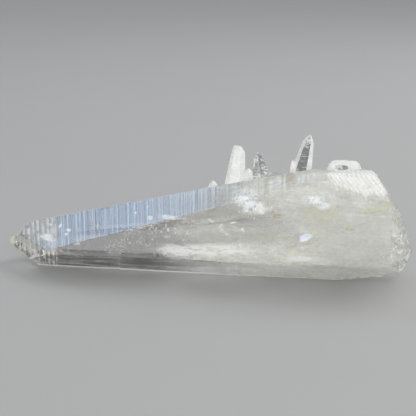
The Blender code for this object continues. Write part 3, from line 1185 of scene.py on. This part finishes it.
def tick_rings(obj, shoulder, draw):
    """Growth lines round a small crystal: rings cut across it, each a little inside the last."""
    stations = rises(draw, 0.0010, shoulder, 0.00075, 0.4)
    edit(obj)
    for station in stations:
        for side in (-0.00003, 0.00003):
            bpy.ops.mesh.select_all(action="SELECT")
            bisect(Vector((0.0, 0.0, station + side)), Vector((0.0, 0.0, 1.0)))
    leave()
    points = coordinates(obj.data)
    tread = np.clip(np.searchsorted(stations, points[:, 2], side="right") - 1, 0, len(stations) - 2)
    share = (points[:, 2] - stations[tread]) / (stations[tread + 1] - stations[tread])
    below = (points[:, 2] > stations[0]) & (points[:, 2] < stations[-1])
    points[:, :2] *= 1 - 0.035 * np.where(below, 1 - np.clip(share, 0, 1), 0.0)[:, None]
    place(obj.data, points)


def side_crystal(name, shape, draw):
    """A tapering six-sided prism with a six-sided point, leaning from its foot to its tip."""
    foot = Vector(shape["foot"]) + MIDDLE
    direction = Vector(shape["tip"]) + MIDDLE - foot
    length = direction.length
    shoulder = length * (1 - shape["point"])
    bpy.ops.mesh.primitive_cone_add(
        vertices=6,
        radius1=shape["foot_width"],
        radius2=shape["shoulder_width"],
        depth=shoulder,
        location=(0.0, 0.0, shoulder / 2),
    )
    obj = named(name)
    freeze(obj)
    edit(obj)
    bpy.ops.transform.rotate(
        value=-math.radians(shape["turn"]), orient_axis="Z", center_override=(0.0, 0.0, 0.0)
    )
    bpy.ops.transform.resize(value=(1.0, shape["depth"], 1.0), center_override=(0.0, 0.0, 0.0))
    leave()
    top = max(obj.data.polygons, key=lambda face: face.center.z).index
    bpy.ops.object.mode_set(mode="EDIT")
    select_faces(obj, [top])
    bpy.ops.mesh.extrude_region_move(
        TRANSFORM_OT_translate={"value": (shape["tip_shift"], 0.0, length - shoulder)}
    )
    bpy.ops.mesh.merge(type="CENTER")
    bpy.ops.mesh.select_all(action="SELECT")
    if shape["broken"]:
        end = Vector((0.0, 0.0, length * (1 - shape["broken"])))
        bisect(end, BROKEN_TIP_FACES.normalized(), fill=True, clear_outer=True)
        bpy.ops.mesh.select_all(action="SELECT")
    bpy.ops.mesh.bevel(offset=0.00008, segments=1, affect="EDGES")
    leave()
    tick_rings(obj, shoulder, draw)
    up = direction.normalized()
    depth_axis = up.cross(Vector((1.0, 0.0, 0.0))).normalized()
    turned = Matrix((depth_axis.cross(up), depth_axis, up)).transposed()
    obj.matrix_world = Matrix.Translation(foot) @ turned.to_4x4()
    freeze(obj)
    return obj


def lying_crystal():
    """The rounded white crystal that lies behind the top."""
    bpy.ops.mesh.primitive_cube_add(size=1.0, location=LYING_CENTRE)
    obj = named("lying_crystal")
    obj.scale = LYING_SIZE
    freeze(obj)
    edit(obj)
    bpy.ops.mesh.bevel(offset=LYING_ROUNDING, segments=3, profile=0.5, affect="EDGES")
    bpy.ops.mesh.select_all(action="SELECT")
    bpy.ops.mesh.subdivide(number_cuts=7)
    leave()
    points = coordinates(obj.data)
    normals = np.array([vertex.normal for vertex in obj.data.vertices])
    points += normals * (noise_at(points, 0.003, 5.0, 3) * 0.00022 - 0.0002)[:, None]
    rise = np.clip((points[:, 2] - LYING_CENTRE.z) / LYING_SIZE.z + 0.5, 0.0, 1.0)
    points[:, 1] = LYING_CENTRE.y + (points[:, 1] - LYING_CENTRE.y) * (1 - 0.55 * rise**2)
    points[:, 0] = LYING_CENTRE.x + (points[:, 0] - LYING_CENTRE.x) * (1 - 0.10 * rise**2)
    hollow = hump(points[:, 0], HOLLOW.x, 0.0036) * hump(points[:, 2], HOLLOW.z, 0.0013)
    points[:, 1] += 0.0020 * hollow * (points[:, 1] < LYING_CENTRE.y)
    place(obj.data, points)
    return obj


SMOOTH_FROM = 0.100


def smooth_root(body):
    """Shades the worn root and the rounded crystal smooth, and leaves the growth steps flat."""
    only(body)
    bpy.ops.object.shade_smooth_by_angle(angle=math.radians(28))
    mesh = body.data
    centres = np.empty(len(mesh.polygons) * 3)
    mesh.polygons.foreach_get("center", centres)
    centres = centres.reshape(-1, 3)
    lying = np.linalg.norm(centres - np.array(LYING_CENTRE), axis=1) < 0.011
    smooth = (growth(centres) > SMOOTH_FROM) | lying
    mesh.polygons.foreach_set("use_smooth", smooth)
    mesh.update()


def whiten_side_crystals(mesh, facets):
    """Paints each side crystal with its own share of frost, face by face, and painted shade on some front faces and
    in the hollow.
    """
    count = len(mesh.polygons)
    centres, normals = np.empty(count * 3), np.empty(count * 3)
    mesh.polygons.foreach_get("center", centres)
    mesh.polygons.foreach_get("normal", normals)
    centres, normals = centres.reshape(-1, 3), normals.reshape(-1, 3)
    gaps = centres @ facets.normals.T - facets.heights
    outside = gaps[:, : facets.large].max(axis=1) > 0.0001
    white, smoke, chalky, ticked = (np.zeros(count) for _ in range(4))
    nearest = np.full(count, np.inf)
    shapes = [
        (Vector(shape["foot"]) + MIDDLE, Vector(shape["tip"]) + MIDDLE, shape["foot_width"], shape["white"], name)
        for name, shape in SIDE_CRYSTALS.items()
    ]
    reach = Vector((0.004, 0.0, 0.0))
    shapes.append((LYING_CENTRE - reach, LYING_CENTRE + reach, 0.006, 0.92, "lying"))
    for foot, tip, width, share, name in shapes:
        line = np.array(tip - foot)
        part = np.clip((centres - np.array(foot)) @ line / (line @ line), 0.0, 1.0)
        gap = np.linalg.norm(centres - np.array(foot) - part[:, None] * line, axis=1) / (width * (1 - 0.4 * part))
        closer = outside & (gap < nearest)
        nearest[closer] = gap[closer]
        sideways = np.abs(normals @ np.array(ACROSS))
        white[closer] = np.where(sideways[closer] > 0.45, SIDE_FACES.get(name, share), share)
        smoke[closer] = np.where(sideways[closer] > 0.45, 0.0, PAINTED_DARK_FACES.get(name, 0.0))
        chalky[closer] = name == CHALKY
        ticked[closer] = name == TICKED
    # The hollow in the rounded crystal gets painted shade in place of frost.
    hollow = np.linalg.norm((centres - np.array(HOLLOW)) / np.array([0.0027, 0.009, 0.0009]), axis=1) < 1
    hollow = hollow & outside & (centres[:, 1] < LYING_CENTRE.y)
    white[hollow] = 0.0
    smoke[hollow] = 0.70
    layers = {"white": white, "side": outside, "smoke": smoke, "chalky": chalky, "ticked": ticked}
    for name, values in layers.items():
        layer = mesh.attributes.new(name, "FLOAT", "FACE")
        layer.data.foreach_set("value", values.astype(np.float32))


def grow_together(body, others):
    """Joins the overlapping crystals in one solid."""
    grown = bpy.data.collections.new("side_crystals")
    for obj in others:
        grown.objects.link(obj)
    union = body.modifiers.new("grown_together", "BOOLEAN")
    union.operation = "UNION"
    union.operand_type = "COLLECTION"
    union.collection = grown
    union.solver = "EXACT"
    apply_modifiers(body)
    for obj in others:
        bpy.data.objects.remove(obj, do_unlink=True)
    bpy.data.collections.remove(grown)


# ---------------------------------------------------------------- what is sealed inside

CLOUD_DEPTHS = (0.0008, 0.0021, 0.0038, 0.0060, 0.0088, 0.0122)
CLOUD_CELL = 0.0017
CLOUD_BEGINS = -0.034


def milkiness(points):
    """How milky the quartz is at each point, from 0 to 1."""
    x, z = points[:, 0], points[:, 2]
    window = 0.024 * hump(z, 0.0245, 0.0060)
    band = 0.026 * hump(z, 0.0130, 0.0032)
    begins = -0.006 + window - band + 0.006 * noise_at(points, 0.010, 14.0, 3)
    amount = 0.85 * smooth_step(begins, begins + 0.034, x)
    streak = hump(z, 0.0135, 0.0022) * smooth_step(-0.024, -0.006, x) * (1 - smooth_step(0.018, 0.030, x))
    return np.clip(amount + 0.9 * streak, 0.0, 1.2)


def cloud_sheet(facets, depth, number):
    """A waved sheet that follows the crystal's faces at a depth below them."""
    bpy.ops.mesh.primitive_cube_add(size=0.3)
    obj = named(f"cloud_{number}")
    edit(obj)
    for normal, height in zip(facets.normals, facets.heights):
        bpy.ops.mesh.select_all(action="SELECT")
        bisect(Vector(normal * (height - depth)), Vector(normal), fill=True, clear_outer=True)
    leave()
    remesh = obj.modifiers.new("even", "REMESH")
    remesh.mode = "VOXEL"
    remesh.voxel_size = CLOUD_CELL
    round_off = obj.modifiers.new("round_off", "SMOOTH")
    round_off.factor = 0.5
    round_off.iterations = 8 + int(depth * 2500)
    apply_modifiers(obj)
    edit(obj)
    bisect(Vector((CLOUD_BEGINS, 0.0, 0.0)), Vector((1.0, 0.0, 0.0)), clear_inner=True)
    leave()
    points = coordinates(obj.data)
    normals = np.array([vertex.normal for vertex in obj.data.vertices])
    wave = noise_at(points, 0.008, 40.0 + number, 3) * min(0.4 * depth, 0.0022)
    place(obj.data, points + normals * wave[:, None])
    return obj


def sheet(name, facets, x, z, depth, size, draw, facing=(0.0, -1.0, 0.1), turn=0.0, bend=0.12):
    """A small waved sheet with a ragged outline inside the crystal, painted to fade at its rim."""
    bpy.ops.mesh.primitive_grid_add(x_subdivisions=24, y_subdivisions=16, size=2.0)
    obj = named(name)
    points = coordinates(obj.data)
    phase = draw.uniform(0.0, 2 * math.pi, 3)
    angle = np.arctan2(points[:, 1], points[:, 0])
    ragged = 1.12 + 0.17 * np.sin(2 * angle + phase[0]) + 0.10 * np.sin(5 * angle + phase[1])
    radius = np.hypot(points[:, 0], points[:, 1]) * (ragged + 0.06 * np.sin(11 * angle + phase[2]))
    points[:, 2] = bend * noise_at(points, 0.9, phase[0] * 10, 3) - 0.25 * bend * radius**2
    place(obj.data, points)
    paint(obj.data, "fade", 1 - smooth_step(0.35, 1.0, radius))
    outside = [face.index for face in obj.data.polygons if radius[list(face.vertices)].min() > 1.0]
    edit(obj)
    select_faces(obj, outside)
    bpy.ops.mesh.delete(type="FACE")
    leave()
    out = Vector(facing).normalized()
    level = Vector((0.0, 0.0, 1.0)).cross(out).normalized()
    turned = Matrix((level, out.cross(level), out)).transposed().to_4x4()
    centre = Vector(facets.inside(x, z, depth))
    scale = Matrix.Diagonal((size[0] / 2, size[1] / 2, size[0] / 2, 1.0))
    spin = Matrix.Rotation(math.radians(turn), 4, "Z")
    obj.matrix_world = Matrix.Translation(centre) @ turned @ spin @ scale
    freeze(obj)
    return obj


def fleck_forms():
    """The three forms of fleck, each about one unit across: an arc, a flake and a grain."""
    bpy.ops.mesh.primitive_uv_sphere_add(segments=20, ring_count=24, radius=1.0)
    arc = named("arc")
    edit(arc)
    bisect(Vector((0.0, 0.0, 0.79)), Vector((0.0, 0.0, 1.0)), clear_inner=True)
    bpy.ops.mesh.select_all(action="SELECT")
    bisect(Vector((0.0, 0.0, 0.86)), Vector((0.0, 0.0, 1.0)), clear_outer=True)
    bpy.ops.mesh.select_all(action="SELECT")
    bisect(Vector((-0.05, 0.0, 0.0)), Vector((1.0, 0.2, 0.0)), clear_inner=True)
    bpy.ops.mesh.select_all(action="SELECT")
    bpy.ops.transform.translate(value=(-0.35, 0.0, -0.8))
    leave()
    bpy.ops.mesh.primitive_circle_add(vertices=9, radius=0.6, fill_type="NGON")
    flake = named("flake")
    edit(flake)
    bpy.ops.mesh.inset(thickness=0.22)
    bpy.ops.transform.translate(value=(0.05, 0.03, 0.12))
    leave()
    ragged(flake, 0.12)
    bpy.ops.mesh.primitive_ico_sphere_add(subdivisions=2, radius=0.32)
    grain = named("grain")
    ragged(grain, 0.06)
    return [arc, flake, grain]


def ragged(obj, amount):
    points = coordinates(obj.data)
    shift = np.stack([noise_at(points, 0.4, 3.0 + 9 * axis, 2) for axis in range(3)], axis=1)
    place(obj.data, points + shift * amount)


def scatter_flecks(facets, draw):
    """Copies the flecks into swarms along the front of the clear part, and a few elsewhere."""
    forms = fleck_forms()
    spots = []
    for (low_x, high_x), (low_z, high_z), depths, count, sizes, kinds in FLECK_SWARMS:
        for _ in range(count):
            x, z = draw.uniform(low_x, high_x), draw.uniform(low_z, high_z)
            spots.append((x, z, draw.uniform(*depths), draw.uniform(*sizes), draw.choice(kinds)))
    for x, z, depth, size, kind in FLECKS:
        spots.append((x, z, depth, size, kind))
    copies = []
    for x, z, depth, size, kind in spots:
        place_at = facets.inside(x, z, depth)[None]
        if facets.depth(place_at)[0] < size * 0.45:
            continue
        fleck = copy_of(forms[int(kind)])
        tilt = Matrix.Rotation(math.radians(draw.uniform(-35, 35)), 4, "X")
        spin = Matrix.Rotation(draw.uniform(0, 2 * math.pi), 4, "Z")
        facing = Matrix.Rotation(math.radians(90), 4, "X")
        shape = Matrix.Diagonal((size, size * draw.uniform(0.45, 1.0), size, 1.0))
        fleck.matrix_world = Matrix.Translation(place_at[0]) @ tilt @ facing @ spin @ shape
        copies.append(fleck)
    for form in forms:
        bpy.data.objects.remove(form, do_unlink=True)
    flecks = join(copies, "flecks")
    freeze(flecks)
    return flecks


# Swarms of flecks: their span along X and Z, their depth behind the front, how many, their sizes,
# and their forms.
FLECK_SWARMS = (
    ((-0.034, -0.025), (0.0115, 0.0170), (0.0008, 0.0050), 40, (0.0006, 0.0015), (0, 0, 0, 2)),
    ((-0.026, -0.013), (0.0150, 0.0225), (0.0008, 0.0060), 42, (0.0006, 0.0019), (0, 0, 0, 2)),
    ((-0.016, 0.0020), (0.0180, 0.0250), (0.0008, 0.0060), 34, (0.0007, 0.0022), (0, 0, 0, 2)),
    ((-0.058, 0.0100), (0.0060, 0.0300), (0.0012, 0.0120), 60, (0.0002, 0.0005), (2, 2)),
    ((0.0000, 0.0600), (0.0080, 0.0340), (0.0010, 0.0040), 60, (0.0003, 0.0009), (0, 1, 2)),
)
FLECKS = (
    (-0.0321, 0.0141, 0.0012, 0.0022, 0),
    (-0.0297, 0.0147, 0.0010, 0.0010, 1),
    (-0.0269, 0.0117, 0.0010, 0.0008, 2),
    (-0.0265, 0.0172, 0.0010, 0.0007, 1),
    (-0.0266, 0.0160, 0.0010, 0.0006, 1),
    (-0.0267, 0.0148, 0.0010, 0.0006, 1),
    (-0.0233, 0.0162, 0.0010, 0.0009, 1),
    (-0.0193, 0.0182, 0.0010, 0.0028, 0),
    (-0.0122, 0.0231, 0.0010, 0.0032, 0),
    (-0.0090, 0.0215, 0.0010, 0.0024, 0),
    (-0.0044, 0.0220, 0.0010, 0.0034, 0),
)


def sealed(finish, tone, share, through, glow=0.45, roughness=0.5):
    """Ends a finish for a thin thing inside the quartz: its tone where it is, clear elsewhere."""
    dull = finish.principled({"Base Color": tone, "Roughness": roughness, "IOR": 1.3})
    body = finish.mix(glow, dull, finish.glow(through))
    return finish.finished(finish.mix(share, finish.clear(), body))


def bright_crack(settings):
    finish = Finish("bright_crack")
    fade = finish.painted("fade")
    scales = finish.noise(1100.0, 4.0, 0.65, 0.8).fade(0.40, 0.58)
    shell = finish.noise(2400.0, 3.0, 0.6).fade(0.35, 0.70)
    tone = finish.blend(shell, (0.86, 0.90, 0.94, 1.0), (0.98, 0.98, 0.98, 1.0))
    share = (fade * 1.4 * (0.10 + scales * 0.8)).fade(0.0, 1.0)
    return sealed(finish, tone, share, (0.94, 0.95, 0.97), 0.35, 0.2)


RAINBOW = (
    (0.00, (0.93, 0.72, 0.70)),
    (0.20, (0.96, 0.90, 0.66)),
    (0.38, (0.74, 0.93, 0.76)),
    (0.55, (0.62, 0.90, 0.96)),
    (0.75, (0.72, 0.74, 0.97)),
    (0.90, (0.93, 0.76, 0.93)),
    (1.00, (0.97, 0.96, 0.97)),
)


def rainbow_crack(settings):
    finish = Finish("rainbow_crack")
    fade = finish.painted("fade")
    swirl = finish.noise(170.0, 2.0, 0.5, 0.8)
    band = (swirl * 2.6 - 0.8).fade(0.0, 1.0)
    ramp = finish.node("ValToRGB", {"stops": RAINBOW}, {0: band})
    share = (fade * 1.6 * finish.noise(900.0, 3.0).fade(0.26, 0.46)).fade(0.0, 1.0)
    return sealed(finish, ramp.outputs[0], share, (0.92, 0.90, 0.94), 0.25, 0.25)


def mustard_spot(settings):
    finish = Finish("mustard_spot")
    fade = finish.painted("fade")
    blotch = finish.noise(1100.0, 3.0, 0.6)
    tone = finish.blend(blotch, (0.62, 0.50, 0.10, 1.0), (0.75, 0.66, 0.28, 1.0))
    return sealed(finish, tone, (fade * 1.2).fade(0.0, 1.0), (0.70, 0.60, 0.20))


def white_fleck(settings):
    finish = Finish("white_fleck")
    mottle = finish.noise(2200.0, 2.0)
    tone = finish.blend(mottle, (0.82, 0.84, 0.84, 1.0), (0.97, 0.97, 0.95, 1.0))
    dull = finish.principled({"Base Color": tone, "Roughness": 0.3})
    body = finish.mix(0.4, dull, finish.glow((0.92, 0.93, 0.92)))
    return finish.finished(finish.mix(0.88, finish.clear(), body))


# Sheets inside, by kind: the place along X and Z, the depth behind the front, the length and
# height, the way it faces, and its turn in degrees.
BRIGHT_CRACKS = (
    (0.0226, 0.0335, 0.0008, (0.0080, 0.0055), (-0.2, -0.8, 0.6), 20),
    (0.0266, 0.0318, 0.0010, (0.0070, 0.0045), (0.1, -0.9, 0.4), -25),
    (0.0201, 0.0358, 0.0008, (0.0060, 0.0030), (-0.2, -0.7, 0.7), 10),
    (0.0471, 0.0362, 0.0008, (0.0060, 0.0040), (0.1, -0.8, 0.5), -30),
    (0.0511, 0.0345, 0.0010, (0.0045, 0.0030), (0.0, -0.9, 0.3), 15),
    (0.0085, 0.0265, 0.0009, (0.0034, 0.0013), (0.1, -0.9, 0.4), -35),
    (0.0122, 0.0247, 0.0012, (0.0030, 0.0020), (-0.2, -0.9, 0.3), 60),
    (0.0168, 0.0262, 0.0009, (0.0042, 0.0014), (0.0, -0.8, 0.5), 10),
    (0.0205, 0.0237, 0.0012, (0.0026, 0.0016), (0.2, -0.9, 0.2), -50),
    (0.0145, 0.0218, 0.0010, (0.0052, 0.0011), (0.0, -0.9, 0.3), -8),
)
RAINBOW_CRACKS = (
    (0.0440, 0.0221, 0.0008, (0.0062, 0.0044), (0.05, -1.0, 0.2), 20),
    (0.0434, 0.0178, 0.0010, (0.0034, 0.0017), (0.0, -1.0, 0.1), -10),
)
MUSTARD_SPOTS = ((0.0603, 0.0264, 0.0006, (0.0030, 0.0011), (0.0, -1.0, 0.1), 5),)


def measure_facets():
    """The planes of the long crystal, measured on a copy of the solid."""
    solid = copy_of_solid("measure")
    cut_off_side_crystals(solid)
    facets = Facets(solid.data)
    bpy.data.objects.remove(solid, do_unlink=True)
    return facets


def lay_sheets(name, places, material, seed):
    """Lays one kind of sheet inside and joins it in one piece."""
    facets = measure_facets()
    draw = np.random.default_rng(seed)
    sheets = []
    for number, (x, z, depth, size, facing, turn) in enumerate(places):
        sheets.append(sheet(f"{name}_{number}", facets, x, z, depth, size, draw, facing, turn))
    piece = join(sheets, name)
    piece.data.materials.append(material)
    bpy.ops.object.shade_smooth()
    keep_in(piece)


# ---------------------------------------------------------------- operators


class QUARTZ_OT_crystals(bpy.types.Operator):
    """Grows the long crystal and the side crystals as one solid"""

    bl_idname = "quartz.crystals"
    bl_label = "Crystals"

    def execute(self, context):
        settings = context.scene.quartz
        noise.seed_set(settings.seed)
        draw = np.random.default_rng(settings.seed + 1)
        body, facets = long_crystal(settings)
        others = [side_crystal(name, shape, draw) for name, shape in SIDE_CRYSTALS.items()]
        others.append(lying_crystal())
        grow_together(body, others)
        whiten_side_crystals(body.data, facets)
        body.name = "crystals"
        body.data.materials.clear()
        body.data.materials.append(clear_quartz(settings, facets))
        smooth_root(body)
        keep_in(body, hides_solid=True)
        return {"FINISHED"}


class QUARTZ_OT_clouds(bpy.types.Operator):
    """Lays the milky clouds inside the root"""

    bl_idname = "quartz.clouds"
    bl_label = "Clouds"

    def execute(self, context):
        settings = context.scene.quartz
        facets = measure_facets()
        sheets = [cloud_sheet(facets, depth, number) for number, depth in enumerate(CLOUD_DEPTHS)]
        clouds = join(sheets, "clouds")
        paint(clouds.data, "milk", milkiness(coordinates(clouds.data)))
        clouds.data.materials.append(milky_cloud(settings))
        bpy.ops.object.shade_smooth()
        keep_in(clouds)
        return {"FINISHED"}


class QUARTZ_OT_flecks(bpy.types.Operator):
    """Scatters white flecks through the clear quartz"""

    bl_idname = "quartz.flecks"
    bl_label = "Flecks"

    def execute(self, context):
        settings = context.scene.quartz
        flecks = scatter_flecks(measure_facets(), np.random.default_rng(settings.seed + 2))
        flecks.data.materials.append(white_fleck(settings))
        keep_in(flecks)
        return {"FINISHED"}


class QUARTZ_OT_cracks(bpy.types.Operator):
    """Lays the bright cracks and the rainbow crack inside"""

    bl_idname = "quartz.cracks"
    bl_label = "Cracks"

    def execute(self, context):
        settings = context.scene.quartz
        lay_sheets("bright_cracks", BRIGHT_CRACKS, bright_crack(settings), settings.seed + 3)
        lay_sheets("rainbow_cracks", RAINBOW_CRACKS, rainbow_crack(settings), settings.seed + 4)
        return {"FINISHED"}


class QUARTZ_OT_spot(bpy.types.Operator):
    """Lays the small mustard spot inside"""

    bl_idname = "quartz.spot"
    bl_label = "Mustard spot"

    def execute(self, context):
        settings = context.scene.quartz
        lay_sheets("mustard_spot", MUSTARD_SPOTS, mustard_spot(settings), settings.seed + 7)
        return {"FINISHED"}


FLOOR_GAP = 0.0001

WINDOW = Vector((-0.462, 0.388, 0.797))
WINDOW_LONG = Vector((0.90, 0.24, 0.36))
WINDOW_WIDE = Vector((-0.05, 0.88, -0.46))


def studio(settings):
    """Even soft light all round, with one patch of blue sky behind and above the point."""
    finish = Finish("studio", bpy.data.worlds)
    looks = finish.node("TexCoord").outputs["Generated"]

    def part(direction):
        node = finish.node("VectorMath", {"operation": "DOT_PRODUCT"}, {0: looks, 1: direction})
        return Level(finish, node.outputs["Value"])

    along = part(WINDOW_LONG)
    across = part(WINDOW_WIDE)
    patch = along.fade(0.085, 0.0) * along.fade(-0.22, -0.12)
    patch = patch * across.fade(0.19, 0.04) * across.fade(-0.16, -0.05) * part(WINDOW).fade(0.5, 0.7)
    tone = finish.blend(patch, (0.88, 0.88, 0.89, 1.0), colour(settings.sky_colour))
    strength = 0.75 + patch * settings.sky_strength
    background = finish.node("Background", {}, {"Color": tone, "Strength": strength})
    finish.node("OutputWorld", {}, {"Surface": background.outputs[0]})
    return finish.material


class QUARTZ_OT_stage(bpy.types.Operator):
    """Sets the floor, the lamps and the camera"""

    bl_idname = "quartz.stage"
    bl_label = "Stage"

    def execute(self, context):
        settings = context.scene.quartz
        bpy.ops.mesh.primitive_circle_add(vertices=96, radius=4.0, fill_type="NGON")
        floor = named("floor")
        floor.location.z = -FLOOR_GAP
        freeze(floor)
        finish = Finish("floor")
        mottle = finish.noise(9.0, 4.0)
        tone = finish.blend(mottle, colour(settings.floor_colour), colour([c * 1.06 for c in settings.floor_colour]))
        floor.data.materials.append(finish.finished(finish.principled({"Base Color": tone, "Roughness": 0.7})))
        self.lamp("top", (0.42, 0.45, 0.80), 1.3, (0.9, 0.6), settings.top_power, (1.0, 1.0, 1.0))
        self.lamp("fill", (0.25, -0.90, 0.42), 1.5, (1.2, 0.8), settings.fill_power, (1.0, 0.98, 0.95))
        context.scene.world = studio(settings)
        data = bpy.data.cameras.new("camera")
        data.lens = 85
        data.sensor_width = 36
        camera = bpy.data.objects.new("camera", data)
        context.scene.collection.objects.link(camera)
        back = -looking(90 + 12, -15)
        target = Vector((0.0, 0.018, 0.022)) + MIDDLE
        camera.location = target + back * 0.404
        camera.rotation_euler = back.to_track_quat("Z", "Y").to_euler()
        context.scene.camera = camera
        context.scene.cycles.transparent_max_bounces = 48
        context.scene.cycles.max_bounces = 12
        context.scene.cycles.transmission_bounces = 12
        context.scene.view_settings.view_transform = "Standard"
        return {"FINISHED"}

    def lamp(self, name, direction, distance, size, power, tint):
        data = bpy.data.lights.new(name, "AREA")
        data.shape = "RECTANGLE"
        data.size, data.size_y = size
        data.energy = power
        data.color = tint[:3]
        lamp = bpy.data.objects.new(name, data)
        bpy.context.scene.collection.objects.link(lamp)
        toward = Vector(direction).normalized()
        lamp.location = toward * distance
        lamp.rotation_euler = toward.to_track_quat("Z", "Y").to_euler()


PIECES = (
    QUARTZ_OT_crystals,
    QUARTZ_OT_clouds,
    QUARTZ_OT_flecks,
    QUARTZ_OT_cracks,
    QUARTZ_OT_spot,
    QUARTZ_OT_stage,
)


class QUARTZ_PT_panel(bpy.types.Panel):
    """Lists the settings and the pieces of the cluster"""

    bl_label = "Quartz cluster"
    bl_idname = "QUARTZ_PT_panel"
    bl_space_type = "VIEW_3D"
    bl_region_type = "UI"
    bl_category = "Quartz"

    def draw(self, context):
        for name in QuartzSettings.__annotations__:
            self.layout.prop(context.scene.quartz, name)
        for piece in PIECES:
            self.layout.operator(piece.bl_idname)


CLASSES = (QuartzSettings, *PIECES, QUARTZ_PT_panel)


def register():
    for cls in CLASSES:
        bpy.utils.register_class(cls)
    bpy.types.Scene.quartz = PointerProperty(type=QuartzSettings)


def unregister():
    del bpy.types.Scene.quartz
    for cls in reversed(CLASSES):
        bpy.utils.unregister_class(cls)


def main():
    register()
    bpy.ops.quartz.crystals()
    bpy.ops.quartz.clouds()
    bpy.ops.quartz.flecks()
    bpy.ops.quartz.cracks()
    bpy.ops.quartz.spot()
    bpy.ops.quartz.stage()


if __name__ == "__main__":
    main()
